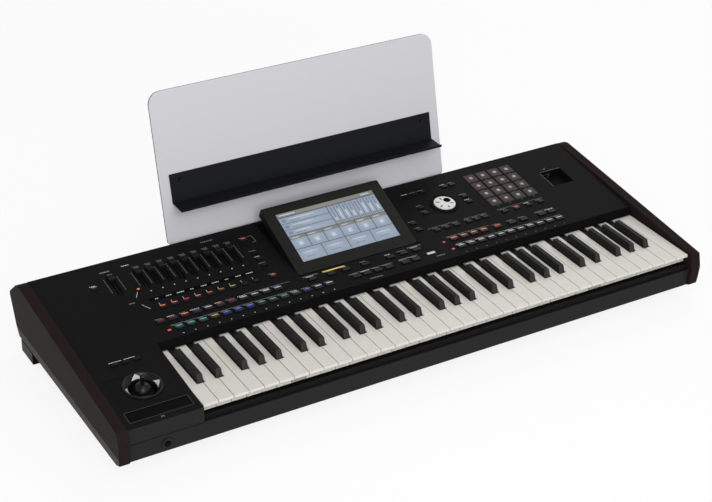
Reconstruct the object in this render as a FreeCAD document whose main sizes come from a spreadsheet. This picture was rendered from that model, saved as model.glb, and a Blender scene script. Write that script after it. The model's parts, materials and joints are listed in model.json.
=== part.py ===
import FreeCAD, Part
import os
import re
import Sketcher
from FreeCAD import Rotation, Vector

# Arranger keyboard, in millimetres and degrees.
# While it is drawn, x runs along the keys from the middle of the case, y runs from the front edge
# of the white keys towards the back, and z runs up from the table. Every finished piece is then
# slid along y, so that the origin is at the middle of the whole object's footprint.

OCTAVES = 5
WHITE_COUNT = 7 * OCTAVES + 1

SIZES = {
    # Keys
    "key_pitch": 23.5,
    "key_gap": 1.0,
    "key_side_gap": 0.6,
    "key_right_gap": 0.8,
    "key_top": 78,
    "key_travel": 2.8,
    "key_skin": 3,
    "key_wall": 1.8,
    "white_head": 49,
    "white_depth": 16,
    "white_lip": 4.6,
    "white_lip_length": 9,
    "black_width": 11,
    "black_crown_width": 8.2,
    "black_rise": 11.5,
    "black_skirt": 6,
    "black_front_slope": 5,
    "black_spread_pair": 2.8,
    "black_spread_triple": 3.8,
    "black_tail_width": 6,
    "black_tail_drop": 1.5,
    "pivot_distance": 205,
    "pivot_drop": 9,
    "pivot_radius": 2.5,
    "key_tail": 8,
    "key_solid_tail": 15,
    "running_clearance": 0.25,
    "press_clearance": 0.05,
    # Key frame
    "frame_sheet": 2.5,
    "frame_drop": 35.5,
    "frame_front": 13,
    "frame_stop_width": 10,
    "frame_flange": 12,
    "frame_back": 17,
    "rib_thickness": 2,
    "rib_width": 14,
    "rib_cover": 4,
    "stop_clearance": 0.5,
    "board_thickness": 1.6,
    "contact_board_front": 80,
    "contact_board_width": 40,
    # Case
    "wall": 3,
    "case_bottom": 21,
    "case_toe": 4,
    "front_overhang": 3.4,
    "seam_drop": 26.6,
    "cheek_width": 113.6,
    "cheek_drop": 1.4,
    "panel_front": 150.6,
    "panel_rise": 13.8,
    "panel_tilt": 7.3,
    "panel_rear_margin": 4,
    "fascia_clearance": 2,
    "fascia_thickness": 2.5,
    "fascia_lean": 7.2,
    "black_rear_gap": 16.9,
    "rear_slope_depth": 34,
    "rear_slope_drop": 30,
    "rear_lean": 25,
    "rear_joint_gap": 3.4,
    "slip_front": 0.8,
    "slip_thickness": 3,
    "slip_rise": 9,
    # End panels
    "end_thickness": 17,
    "end_front_setback": 7,
    "end_rise": 4,
    "end_rear_rise": 1.2,
    "end_rear_margin": 3,
    "end_nose": 12.5,
    "end_nose_rise": 37,
    "end_chin": 9,
    "end_chin_rise": 5.5,
    "end_toe": 3,
    "end_rear_radius": 28,
    "end_nose_radius": 16,
    "end_tail_radius": 8,
    "end_bevel_rise": 17,
    "end_bevel_inset": 1,
    # Feet and screws
    "foot_radius": 19,
    "foot_inset": 65,
    "foot_setback": 48,
    "rear_foot_width": 62,
    "rear_foot_length": 46,
    "rear_foot_setback": 4,
    "screw_radius": 1.75,
    "screw_head_radius": 3.6,
    "screw_head_height": 2.4,
    "screw_length": 11,
    "screw_end_inset": 40,
    # Control panel rows, measured from the panel's front edge
    "lower_row": 19,
    "upper_row": 40.5,
    "middle_row": 71,
    "corner_low_row": 83,
    "corner_high_row": 101,
    "dial_low_row": 118,
    "dial_row": 128.4,
    "dial_high_row": 134,
    "standby_row": 150,
    "rear_row": 170,
    "button_fit": 0.4,
    "button_rise": 2.2,
    "button_flange": 1,
    "button_flange_height": 1.2,
    "button_gap": 0.3,
    "button_stem": 4,
    "button_travel": 1.2,
    "wide_button_length": 13.5,
    "wide_button_width": 8,
    "small_button_length": 10,
    "small_button_width": 6.6,
    "standby_column": -1.328,
    "left_column_gap": 36.1,
    "right_column_gap": 19.05,
    "board_depth": 11,
    "board_edge": 6,
    "board_margin": 8,
    "left_board_reach": 22,
    "boss_radius": 3.2,
    # Pads
    "pad_size": 19.6,
    "pad_pitch": 23.5,
    "pad_first_column": 27.48,
    "pad_front_row": 100.9,
    "pad_rise": 2,
    # Faders
    "fader_column": 1.834,
    "fader_step": 0.8085,
    "fader_rear_gap": 44,
    "fader_travel": 40,
    "fader_cap_length": 13,
    "fader_cap_width": 10,
    "fader_cap_height": 5,
    "fader_grip_depth": 1.6,
    "fader_grip_radius": 7,
    "fader_cap_lift": 0.4,
    "fader_tongue_length": 5,
    "fader_tongue_width": 1.6,
    "fader_slot_fit": 0.6,
    "fader_body_width": 9,
    "fader_body_height": 9,
    "fader_body_margin": 7,
    "fader_tongue_clearance": 2,
    # Value dial
    "dial_column": 24.13,
    "dial_column_gap": 1.775,
    "dial_radius": 18,
    "dial_height": 2.2,
    "dial_lift": 0.3,
    "dial_shaft_radius": 3,
    "dial_ring_radius": 24,
    "dial_ring_width": 5.1,
    "dial_ring_rise": 1.6,
    "dial_dimple_radius": 6,
    "dial_dimple_depth": 1.2,
    "dial_dimple_offset": 9,
    "encoder_size": 16,
    "encoder_bushing": 1.6,
    # Display
    "display_width": 211,
    "display_length": 137,
    "display_thickness": 13,
    "display_tilt": 22,
    "display_hinge_row": 65,
    "display_hinge_depth": 6.5,
    "display_hinge_edge": 6,
    "display_hinge_face": 7.5,
    "display_swing_gap": 0.8,
    "display_end_gap": 2,
    "display_side_gap": 1.2,
    "display_floor_gap": 2.5,
    "display_corner": 3,
    "screen_width": 176,
    "screen_length": 100,
    "screen_thickness": 3,
    "screen_bottom": 21,
    "screen_sink": 0.4,
    "screen_fit": 0.3,
    "hinge_pin_radius": 2.5,
    "hinge_pin_reach": 12,
    # Joystick and cheek
    "joystick_row": 76.5,
    "joystick_plate_margin": 10,
    "joystick_plate_front": 42,
    "joystick_plate_length": 64,
    "joystick_ring_radius": 28.5,
    "joystick_ring_edge": 2,
    "joystick_ring_rise": 2.5,
    "joystick_throat_radius": 20,
    "joystick_pivot_depth": 26,
    "joystick_ball_radius": 13,
    "joystick_ball_height": 18,
    "joystick_dome_radius": 22.5,
    "joystick_dome_skin": 1.8,
    "joystick_dome_angle": 68,
    "joystick_stem_radius": 3.2,
    "joystick_tip_radius": 3.8,
    "joystick_tip_height": 42,
    "joystick_cup_wall": 3.5,
    "joystick_cup_gap": 1,
    "joystick_cup_depth": 15,
    "gimbal_length": 12,
    "gimbal_width": 9,
    "gimbal_height": 3,
    "gimbal_bar": 3.5,
    "gimbal_pin_radius": 2,
    "gimbal_gap": 1,
    "post_thickness": 3.5,
    "post_width": 5,
    "post_cover": 5,
    "inlay_fit": 0.3,
    "inlay_flange": 3,
    "inlay_flange_height": 2,
    "strip_front": 12,
    "strip_length": 22.6,
    "strip_margin": 9,
    "strip_sink": 0.8,
    "cheek_button_row": 134,
    "cheek_button_step": 17,
    # Sockets
    "jack_radius": 7,
    "jack_bore": 3.25,
    "jack_length": 24,
    "jack_bore_depth": 20,
    "jack_nut_radius": 8.5,
    "jack_nut_height": 2,
    "jack_fit": 0.2,
    "headphone_rise": 37,
    "rear_jack_height": 28,
    "rear_jack_column": 4,
    "rear_jack_step": 1.5,
    "inlet_column": 11.4,
    "inlet_width": 27,
    "inlet_height": 19.5,
    "inlet_depth": 20,
    "inlet_flange": 2.5,
    "inlet_cavity": 16,
    "inlet_rim": 2,
    "inlet_blade_width": 4,
    "inlet_blade_thickness": 2,
    "inlet_blade_length": 11,
    "inlet_blade_step": 7,
    "usb_column": 33.4,
    "usb_row": 119,
    "usb_pocket_size": 40,
    "usb_pocket_depth": 15,
    "usb_width": 14.5,
    "usb_height": 7.2,
    "usb_length": 15,
    "usb_shell": 0.8,
    "usb_tongue": 1.8,
    "usb_offset": 9,
    # Boards in the case
    "main_board_column": 6,
    "main_board_length": 220,
    "main_board_width": 95,
    "main_board_lift": 8,
    "bay_gap": 23,
    "supply_column": 14,
    "supply_length": 120,
    "supply_width": 75,
    "supply_height": 34,
    # Music stand
    "stand_setback": 8.1,
    "stand_base_rise": 0.2,
    "stand_lean": 13.3,
    "stand_width": 500,
    "stand_height": 234,
    "stand_foot": 5.5,
    "stand_thickness": 3,
    "stand_corner": 20,
    "stand_foot_corner": 6,
    "ledge_width": 467,
    "ledge_bottom": 58,
    "ledge_top": 104,
    "ledge_depth": 33,
    "ledge_lip": 4,
    "ledge_sheet": 1.6,
    "leg_spread": 150,
    "leg_width": 30,
    "leg_thickness": 4,
    "leg_up": 60,
    "leg_down": 44,
    "socket_fit": 0.4,
    "socket_wall": 2.5,
    "socket_floor": 3,
    "socket_clearance": 0.7,
}

WORKED = {
    "keys_span": f"{WHITE_COUNT} * key_pitch",
    "case_width": "2 * end_thickness + cheek_width + keys_span + key_right_gap",
    "inner_half": "case_width / 2 - end_thickness",
    "keys_left": "cheek_width - inner_half",
    "cheek_right": "keys_left - key_side_gap",
    "cheek_middle": "keys_left - cheek_width / 2",
    "seam": "key_top - seam_drop",
    "cheek_height": "key_top - cheek_drop",
    "panel_height": "key_top + panel_rise",
    "cheek_tilt": "atan((panel_height - cheek_height) / (panel_front + front_overhang)) / (1 deg)",
    "display_reach": "display_length - display_hinge_edge",
    "display_swing": "sqrt(display_hinge_edge ^ 2 + display_hinge_face ^ 2)",
    "tub_front": "display_hinge_row - display_swing - display_swing_gap",
    "tub_rear": "display_hinge_row + display_reach + display_end_gap",
    "tub_half": "display_width / 2 + display_side_gap",
    "tub_depth": "display_hinge_depth + display_thickness - display_hinge_face + display_floor_gap",
    "panel_length": "tub_rear + wall + panel_rear_margin",
    "panel_rear": "panel_front + panel_length * cos(panel_tilt)",
    "panel_rear_height": "panel_height + panel_length * sin(panel_tilt)",
    "rear_top": "panel_rear + rear_slope_depth",
    "rear_top_height": "panel_rear_height - rear_slope_drop",
    "rear_bottom": "rear_top - rear_lean",
    "floor_top": "case_bottom + wall",
    "rear_drop": "rear_top_height - floor_top",
    "rear_angle": "atan(rear_drop / rear_lean) / (1 deg)",
    "rear_slope": "atan(rear_slope_drop / rear_slope_depth) / (1 deg)",
    "stand_base": "panel_rear + stand_setback",
    "stand_base_height": "panel_rear_height + stand_base_rise",
    "object_rear": "stand_base + stand_height * sin(stand_lean) + stand_thickness * cos(stand_lean)",
    "object_middle": "(object_rear - end_nose) / 2",
    "pivot_height": "key_top - pivot_drop",
    "frame_top": "key_top - frame_drop",
    "key_end": "pivot_distance + key_tail",
    "frame_rear": "pivot_distance + frame_back",
    "bay_front": "frame_rear + bay_gap",
    "fader_rest": "panel_length - fader_rear_gap",
    "fader_front": "fader_rest - fader_travel",
    "joystick_plate_width": "cheek_width - 2 * joystick_plate_margin",
    "strip_width": "cheek_width - 2 * strip_margin",
    "cup_inner": "joystick_dome_radius + joystick_cup_gap",
    "cup_top": "wall + inlay_flange_height",
    "funnel_depth": "joystick_ring_rise + cup_top",
    "funnel_slope": "(joystick_ring_radius - joystick_ring_edge - joystick_throat_radius) / funnel_depth",
    "gimbal_reach": "gimbal_length + gimbal_gap",
    "plate_rear": "stand_thickness + leg_thickness",
}

doc = FreeCAD.newDocument("ArrangerKeyboard")
sheet = doc.addObject("Spreadsheet::Sheet", "Sizes")
for row, (alias, number) in enumerate(SIZES.items(), start=1):
    sheet.set(f"A{row}", alias)
    sheet.set(f"B{row}", str(number))
    sheet.setAlias(f"B{row}", alias)
doc.recompute()


def formula(text):
    """Spell out worked values and sheet names in an expression."""
    def spell(match):
        word = match.group()
        if word in WORKED:
            return f"({formula(WORKED[word])})"
        if word in SIZES:
            return f"Sizes.{word}"
        return word
    return re.sub(r"[a-z][a-z_]*", spell, str(text))


def measure(text):
    """The present value of an expression, as a plain number."""
    found = sheet.evalExpression(formula(text))
    return float(getattr(found, "Value", found))


def bind(obj, **fields):
    for field, text in fields.items():
        obj.setExpression(field, formula(text))
    return obj


def move(obj, x=0, y=0, z=0, turn=None, axis=(1, 0, 0)):
    """Bind an object's place, and its turn about one axis."""
    if turn is not None:
        obj.Placement.Rotation = Rotation(Vector(*axis), 1)
        obj.setExpression("Placement.Rotation.Angle", formula(turn))
    for letter, text in zip("xyz", (x, y, z)):
        obj.setExpression(f"Placement.Base.{letter}", formula(text))
    return obj


# Where each sloping group of pieces starts, and how far it is turned about x
FRAMES = {
    "case": ("0", "0", "0", "0"),
    "panel": ("keys_left", "panel_front", "panel_height", "panel_tilt"),
    "cheek": ("cheek_middle", "-front_overhang", "cheek_height", "cheek_tilt"),
    "display": (
        "0",
        "panel_front + display_hinge_row * cos(panel_tilt) + display_hinge_depth * sin(panel_tilt)",
        "panel_height + display_hinge_row * sin(panel_tilt) - display_hinge_depth * cos(panel_tilt)",
        "display_tilt",
    ),
    "rear": ("0", "rear_bottom", "floor_top", "rear_angle"),
    "stand": ("0", "stand_base", "stand_base_height", "90 - stand_lean"),
}


def seat(obj, frame, finished=False):
    """Put an object drawn in a frame's own coordinates where that frame is."""
    x, y, z, turn = FRAMES[frame]
    if finished:
        y = f"{y} - object_middle"
    return move(obj, x, y, z, turn)


def box(name, length, width, height, x=0, y=0, z=0):
    solid = doc.addObject("Part::Box", name)
    bind(solid, Length=length, Width=width, Height=height)
    return move(solid, x, y, z)


def block(name, low, high):
    """A box between two corners."""
    spans = [f"({top}) - ({bottom})" for bottom, top in zip(low, high)]
    return box(name, *spans, *low)


TURNS = {"x": ((0, 1, 0), 90), "y": ((1, 0, 0), -90), "z": (None, None)}


def rod(name, radius, length, x=0, y=0, z=0, along="z"):
    """A cylinder that starts at a point and runs along +x, +y or +z."""
    solid = doc.addObject("Part::Cylinder", name)
    bind(solid, Radius=radius, Height=length)
    axis, turn = TURNS[along]
    if axis is None:
        return move(solid, x, y, z)
    return move(solid, x, y, z, turn, axis)


def fuse(name, *solids):
    joined = doc.addObject("Part::MultiFuse", name)
    joined.Shapes = list(solids)
    return joined


def group(name, *solids):
    loose = doc.addObject("Part::Compound", name)
    loose.Links = list(solids)
    return loose


def cut(name, base, *tools):
    left = doc.addObject("Part::Cut", name)
    left.Base = base
    left.Tool = tools[0] if len(tools) == 1 else group(f"{name}_tools", *tools)
    return left


def copy(source, x=0, y=0, z=0):
    """A linked copy of a solid at another place."""
    link = doc.addObject("App::Link", f"{source.Name}_copy")
    link.LinkedObject = source
    link.LinkTransform = True
    return move(link, x, y, z)


def draw(body, name, plane, points):
    """A closed outline of straight lines, each corner bound to two expressions."""
    sketch = body.newObject("Sketcher::SketchObject", name)
    support = [part for part in body.Origin.OriginFeatures if part.Role == plane][0]
    sketch.AttachmentSupport = [(support, "")]
    sketch.MapMode = "FlatFace"
    places = [Vector(measure(across), measure(up), 0) for across, up in points]
    count = len(points)
    for index in range(count):
        sketch.addGeometry(Part.LineSegment(places[index], places[(index + 1) % count]))
    for index in range(count):
        sketch.addConstraint(Sketcher.Constraint("Coincident", index, 2, (index + 1) % count, 1))
    for index, (across, up) in enumerate(points):
        for kind, text, value in (
            ("DistanceX", across, places[index].x),
            ("DistanceY", up, places[index].y),
        ):
            number = sketch.addConstraint(Sketcher.Constraint(kind, -1, 1, index, 1, value))
            label = f"{kind}_{index}"
            sketch.renameConstraint(number, label)
            sketch.setExpression(f"Constraints.{label}", formula(text))
    return sketch


def extrude(name, plane, points, length, downwards=False):
    """A body padded from an outline on one of its origin planes."""
    body = doc.addObject("PartDesign::Body", name)
    sketch = draw(body, f"{name}_outline", plane, points)
    pad = body.newObject("PartDesign::Pad", f"{name}_pad")
    pad.Profile = sketch
    pad.Reversed = downwards
    bind(pad, Length=length)
    doc.recompute()
    return body


def pocket(body, name, plane, points, drop=0, both_ways=False):
    """Cut an outline out of a body, below its plane or both ways, and see that it did cut."""
    before = body.Shape.Volume
    sketch = draw(body, f"{name}_outline", plane, points)
    bind(sketch, **{"AttachmentOffset.Base.z": f"-({drop})"})
    feature = body.newObject("PartDesign::Pocket", name)
    feature.Profile = sketch
    feature.Type = "ThroughAll"
    feature.Midplane = both_ways
    doc.recompute()
    if not body.Shape.Volume < before:
        raise RuntimeError(f"{name} cuts nothing")


def round_edges(body, name, radius, chosen):
    """Fillet the edges of a body that a test picks."""
    before = body.Tip
    names = [f"Edge{number}" for number, edge in enumerate(before.Shape.Edges, start=1) if chosen(edge)]
    feature = body.newObject("PartDesign::Fillet", name)
    feature.Base = (before, names)
    bind(feature, Radius=radius)
    doc.recompute()


def lies_along(edge, direction):
    first, last = edge.Vertexes[0].Point, edge.Vertexes[-1].Point
    return (last - first).cross(Vector(*direction)).Length < 1e-6 < (last - first).Length


finished_nodes = []


def node(label, *solids, frame="case"):
    """Gather the solids of one finished piece, name it and put it in the object's frame."""
    piece = group(f"{label}_piece", *solids)
    piece.Label = label
    seat(piece, frame, finished=True)
    finished_nodes.append(piece)


# White keys: a hollow moulding with a thin front lip, a wide head and a neck between black keys
BLACK_CENTRES = {
    "c_sharp": "1 * key_pitch - black_spread_pair",
    "d_sharp": "2 * key_pitch + black_spread_pair",
    "f_sharp": "4 * key_pitch - black_spread_triple",
    "g_sharp": "5 * key_pitch",
    "a_sharp": "6 * key_pitch + black_spread_triple",
}
WHITE_KEYS = (
    ("c", None, "c_sharp"),
    ("d", "c_sharp", "d_sharp"),
    ("e", "d_sharp", None),
    ("f", None, "f_sharp"),
    ("g", "f_sharp", "g_sharp"),
    ("a", "g_sharp", "a_sharp"),
    ("b", "a_sharp", None),
)


def white_outline(step, left_black, right_black, front, head, back, inset):
    """A white key seen from above, drawn in by an inset, from its own left boundary."""
    left = f"key_gap / 2 + {inset}"
    right = f"key_pitch - key_gap / 2 - {inset}"
    half = f"(black_width / 2 + key_gap + {inset})"
    neck_left = f"{BLACK_CENTRES[left_black]} - {step} * key_pitch + {half}" if left_black else left
    neck_right = f"{BLACK_CENTRES[right_black]} - {step} * key_pitch - {half}" if right_black else right
    points = [(left, front), (right, front)]
    if right_black:
        points.append((right, head))
        points.append((neck_right, head))
    points.append((neck_right, back))
    points.append((neck_left, back))
    if left_black:
        points.append((neck_left, head))
        points.append((left, head))
    return points


def white_key(name, step, left_black, right_black):
    outline = white_outline(step, left_black, right_black, "0", "white_head", "key_end", "0")
    body = extrude(name, "XY_Plane", outline, "white_depth", downwards=True)
    under_lip = [
        ("-white_lip_length", "-white_lip"),
        ("white_lip_length", "-white_lip"),
        ("white_lip_length", "-2 * white_depth"),
        ("-white_lip_length", "-2 * white_depth"),
    ]
    pocket(body, f"{name}_under_lip", "YZ_Plane", under_lip, both_ways=True)
    hollow = white_outline(
        step, left_black, right_black, "white_lip_length + key_wall", "white_head - key_wall",
        "pivot_distance - key_solid_tail", "key_wall",
    )
    pocket(body, f"{name}_hollow", "XY_Plane", hollow, drop="key_skin")
    bore = rod(
        f"{name}_bore", "pivot_radius + running_clearance", "2 * key_pitch",
        "-key_pitch / 2", "pivot_distance", "-pivot_drop", along="x",
    )
    return cut(f"{name}_bored", body, bore)


for step, (note, left_black, right_black) in enumerate(WHITE_KEYS):
    key = white_key(f"white_{note}", step, left_black, right_black)
    octaves = [f"keys_left + key_pitch * {7 * octave + step}" for octave in range(OCTAVES)]
    copies = [copy(key, place, 0, "key_top") for place in octaves]
    if note == "c":
        top_key = white_key("white_top", step, None, None)
        copies.append(copy(top_key, f"keys_left + key_pitch * {7 * OCTAVES}", 0, "key_top"))
    node(f"white_keys_{note}", *copies)

# Black keys: a tapered cap, a low shoulder that runs in under the panel, and a narrow tail to the pivot
cap = doc.addObject("Part::Wedge", "black_cap")
black_front = "white_head + key_gap"
black_rear = "panel_front - fascia_lean - black_rear_gap"
bind(
    cap,
    Xmin="-black_width / 2", Xmax="black_width / 2",
    X2min="-black_crown_width / 2", X2max="black_crown_width / 2",
    Ymin="-black_skirt", Ymax="black_rise",
    Zmin=f"-({black_rear})", Zmax=f"-({black_front})",
    Z2min=f"-({black_rear})", Z2max=f"-({black_front} + black_front_slope)",
)
move(cap, turn=90)
shoulder = block(
    "black_shoulder",
    ("-black_width / 2", f"{black_front} + black_front_slope", "-black_skirt"),
    ("black_width / 2", "panel_front", "-black_tail_drop"),
)
tail = block(
    "black_tail",
    ("-black_width / 2", f"{black_front} + black_front_slope", "-white_depth"),
    ("black_tail_width - black_width / 2", "key_end", "-black_tail_drop"),
)
black_bore = rod(
    "black_bore", "pivot_radius + running_clearance", "2 * black_width",
    "-black_width", "pivot_distance", "-pivot_drop", along="x",
)
black_key = cut("black_key", fuse("black_key_blank", cap, shoulder, tail), black_bore)
for note, centre in BLACK_CENTRES.items():
    octaves = [f"keys_left + key_pitch * {7 * octave} + {centre}" for octave in range(OCTAVES)]
    node(f"black_keys_{note}", *[copy(black_key, place, 0, "key_top") for place in octaves])

# Key frame: a folded steel channel with a stop rail, screw flanges and a rib beside each black key
stop_height = "key_top - white_depth - (pivot_distance - frame_front) * sin(key_travel) - stop_clearance"
channel = extrude(
    "key_channel", "YZ_Plane",
    [
        ("frame_front", "floor_top"),
        ("frame_front", stop_height),
        ("frame_front + frame_stop_width", stop_height),
        ("frame_front + frame_stop_width", "frame_top"),
        ("frame_rear", "frame_top"),
        ("frame_rear", "floor_top"),
        ("frame_rear - frame_flange", "floor_top"),
        ("frame_rear - frame_flange", "floor_top + frame_sheet"),
        ("frame_rear - frame_sheet", "floor_top + frame_sheet"),
        ("frame_rear - frame_sheet", "frame_top - frame_sheet"),
        ("frame_front + frame_sheet", "frame_top - frame_sheet"),
        ("frame_front + frame_sheet", "floor_top + frame_sheet"),
        ("frame_front + frame_flange", "floor_top + frame_sheet"),
        ("frame_front + frame_flange", "floor_top"),
    ],
    "keys_span",
)
move(channel, "keys_left")
rib = block(
    "frame_rib",
    ("black_width / 2 - rib_thickness", "pivot_distance - rib_width / 2", "frame_top - frame_sheet / 2"),
    ("black_width / 2", "pivot_distance + rib_width / 2", "pivot_height + rib_cover"),
)
ribs = [
    copy(rib, f"keys_left + key_pitch * {7 * octave} + {centre}")
    for octave in range(OCTAVES)
    for centre in BLACK_CENTRES.values()
]
rod_bore = rod(
    "rod_bore", "pivot_radius + press_clearance", "case_width",
    "-case_width / 2", "pivot_distance", "pivot_height", along="x",
)
SCREWS_IN_A_ROW = 5
screw_gap = f"(keys_span - 2 * screw_end_inset) / {SCREWS_IN_A_ROW - 1}"
flange_middle = "(frame_flange + frame_sheet) / 2"
screw_places = [
    (f"keys_left + screw_end_inset + {screw_gap} * {index}", depth)
    for depth in (f"frame_front + {flange_middle}", f"frame_rear - {flange_middle}")
    for index in range(SCREWS_IN_A_ROW)
]
screw_hole = rod(
    "screw_hole", "screw_radius + press_clearance", "2 * screw_length", 0, 0, "case_bottom - screw_length",
)
screw_holes = [copy(screw_hole, x, y) for x, y in screw_places]
node("key_frame", cut("key_frame_solid", fuse("key_frame_blank", channel, *ribs), rod_bore, *screw_holes))
node(
    "key_pivot_rod",
    rod("pivot_rod", "pivot_radius", "keys_span", "keys_left", "pivot_distance", "pivot_height", along="x"),
)
node(
    "key_contact_board",
    box(
        "contact_board", "keys_span", "contact_board_width", "board_thickness",
        "keys_left", "contact_board_front", "frame_top",
    ),
)
screw = fuse(
    "screw",
    rod("screw_head", "screw_head_radius", "screw_head_height", 0, 0, "case_bottom - screw_head_height"),
    rod("screw_shank", "screw_radius", "screw_length", 0, 0, "case_bottom"),
)
node("case_screws", *[copy(screw, x, y) for x, y in screw_places])

# End panels: a thick board with a rounded nose, two rounded rear corners and a bevelled foot
rear_corner = ("panel_rear", "panel_rear_height + end_rear_rise")
tail = ("rear_top + end_rear_margin", "rear_top_height")
nose = ("-end_nose", "case_bottom + end_nose_rise")
left_end = extrude(
    "left_end", "YZ_Plane",
    [
        ("-end_front_setback", "cheek_height + end_rise"),
        rear_corner,
        tail,
        ("rear_bottom + end_rear_margin", "case_bottom"),
        ("end_toe", "case_bottom"),
        ("-end_chin", "case_bottom + end_chin_rise"),
        nose,
    ],
    "end_thickness",
)


def stands_at(edge, point):
    """True for an edge along x that passes through a point of the side view."""
    start = edge.Vertexes[0].Point
    near = Vector(start.x, measure(point[0]), measure(point[1]))
    return lies_along(edge, (1, 0, 0)) and start.isEqual(near, 1e-4)


round_edges(left_end, "rear_rounding", "end_rear_radius", lambda edge: stands_at(edge, rear_corner))
round_edges(left_end, "tail_rounding", "end_tail_radius", lambda edge: stands_at(edge, tail))
round_edges(left_end, "nose_rounding", "end_nose_radius", lambda edge: stands_at(edge, nose))
pocket(
    left_end, "foot_bevel", "XZ_Plane",
    [
        ("-end_bevel_inset", "case_bottom + 2 * end_bevel_rise"),
        ("2 * end_bevel_inset", "case_bottom - end_bevel_rise"),
        ("-end_bevel_inset", "case_bottom - end_bevel_rise"),
    ],
    both_ways=True,
)
move(left_end, "-case_width / 2")
right_end = doc.addObject("Part::Mirroring", "right_end")
right_end.Source = left_end
right_end.Normal = Vector(1, 0, 0)
node("left_end_panel", left_end)
node("right_end_panel", right_end)

# Lower case: front rail and floor, with bosses for the main board
inner_width = "2 * inner_half"
pan = extrude(
    "pan", "YZ_Plane",
    [
        ("case_toe - front_overhang", "case_bottom"),
        ("-front_overhang", "case_bottom + case_toe"),
        ("-front_overhang", "seam"),
        ("wall - front_overhang", "seam"),
        ("wall - front_overhang", "floor_top"),
        ("rear_bottom", "floor_top"),
        ("rear_bottom", "case_bottom"),
    ],
    inner_width,
)
move(pan, "-inner_half")
board_left = "main_board_column * key_pitch"
board_boss = rod("board_boss", "boss_radius", "main_board_lift + wall / 2", 0, 0, "floor_top - wall / 2")
board_bosses = [
    copy(board_boss, f"{board_left} + {along}", f"bay_front + {deep}")
    for along in ("2 * boss_radius", "main_board_length - 2 * boss_radius")
    for deep in ("2 * boss_radius", "main_board_width - 2 * boss_radius")
]
headphone_hole = rod(
    "headphone_hole", "jack_radius + jack_fit", "4 * wall",
    "cheek_middle", "-front_overhang - 2 * wall", "headphone_rise", along="y",
)
lower_blank = fuse("lower_case_blank", pan, *board_bosses)
node("lower_case", cut("lower_case_solid", lower_blank, headphone_hole, *screw_holes))
node(
    "main_board",
    box(
        "main_board_sheet", "main_board_length", "main_board_width", "board_thickness",
        board_left, "bay_front", "floor_top + main_board_lift",
    ),
)
node(
    "power_supply",
    box(
        "supply_box", "supply_length", "supply_width", "supply_height",
        "-supply_column * key_pitch - supply_length", "bay_front", "floor_top",
    ),
)
node(
    "key_slip",
    block(
        "slip_strip",
        ("keys_left", "slip_front", "floor_top"),
        ("keys_left + keys_span", "slip_front + slip_thickness", "seam + slip_rise"),
    ),
)

# Feet: two round ones in front, two blocks at the rear corners
round_foot = rod("round_foot", "foot_radius", "case_bottom")
rear_foot = box("rear_foot", "rear_foot_width", "rear_foot_length", "case_bottom")
rear_foot_start = "rear_bottom - rear_foot_setback - rear_foot_length"
rear_foot_edge = "case_width / 2 - end_bevel_inset"
node(
    "feet",
    copy(round_foot, "foot_inset - case_width / 2", "foot_setback"),
    copy(round_foot, "case_width / 2 - foot_inset", "foot_setback"),
    copy(rear_foot, f"-({rear_foot_edge})", rear_foot_start),
    copy(rear_foot, f"{rear_foot_edge} - rear_foot_width", rear_foot_start),
)

# Buttons and pads: a cap in a panel opening, a flange under the panel and a stem to the board


def press_piece(name, length, width, rise):
    under = "wall + button_gap"
    body = f"{under} + button_flange_height"
    half_length = f"({length}) / 2"
    half_width = f"({width}) / 2"
    return fuse(
        name,
        block(
            f"{name}_cap",
            (f"-{half_length}", f"-{half_width}", f"-({body})"),
            (half_length, half_width, rise),
        ),
        block(
            f"{name}_flange",
            (f"-{half_length} - button_flange", f"-{half_width} - button_flange", f"-({body})"),
            (f"{half_length} + button_flange", f"{half_width} + button_flange", f"-({under})"),
        ),
        block(
            f"{name}_stem",
            ("-button_stem / 2", "-button_stem / 2", "button_travel + button_gap - board_depth"),
            ("button_stem / 2", "button_stem / 2", f"-({under})"),
        ),
    )


def opening(name, length, width):
    """What is cut out of the panel round a cap."""
    half_length = f"(({length}) / 2 + button_fit)"
    half_width = f"(({width}) / 2 + button_fit)"
    return block(
        name,
        (f"-{half_length}", f"-{half_width}", "-2 * wall"),
        (half_length, half_width, "wall"),
    )


wide = ("wide_button_length", "wide_button_width")
small = ("small_button_length", "small_button_width")
square = ("pad_size", "pad_size")
CAPS = {
    "wide": (press_piece("wide_button", *wide, "button_rise"), opening("wide_opening", *wide)),
    "small": (press_piece("small_button", *small, "button_rise"), opening("small_opening", *small)),
    "pad": (press_piece("pad", *square, "pad_rise"), opening("pad_opening", *square)),
}


def row_of(kind, first, step, count, row):
    """Places of a row of caps, with the columns counted in key pitches."""
    return [(kind, f"key_pitch * ({first} + {step} * {index})", row) for index in range(count)]


def column_of(kind, across, rows):
    return [(kind, across, row) for row in rows]


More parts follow.
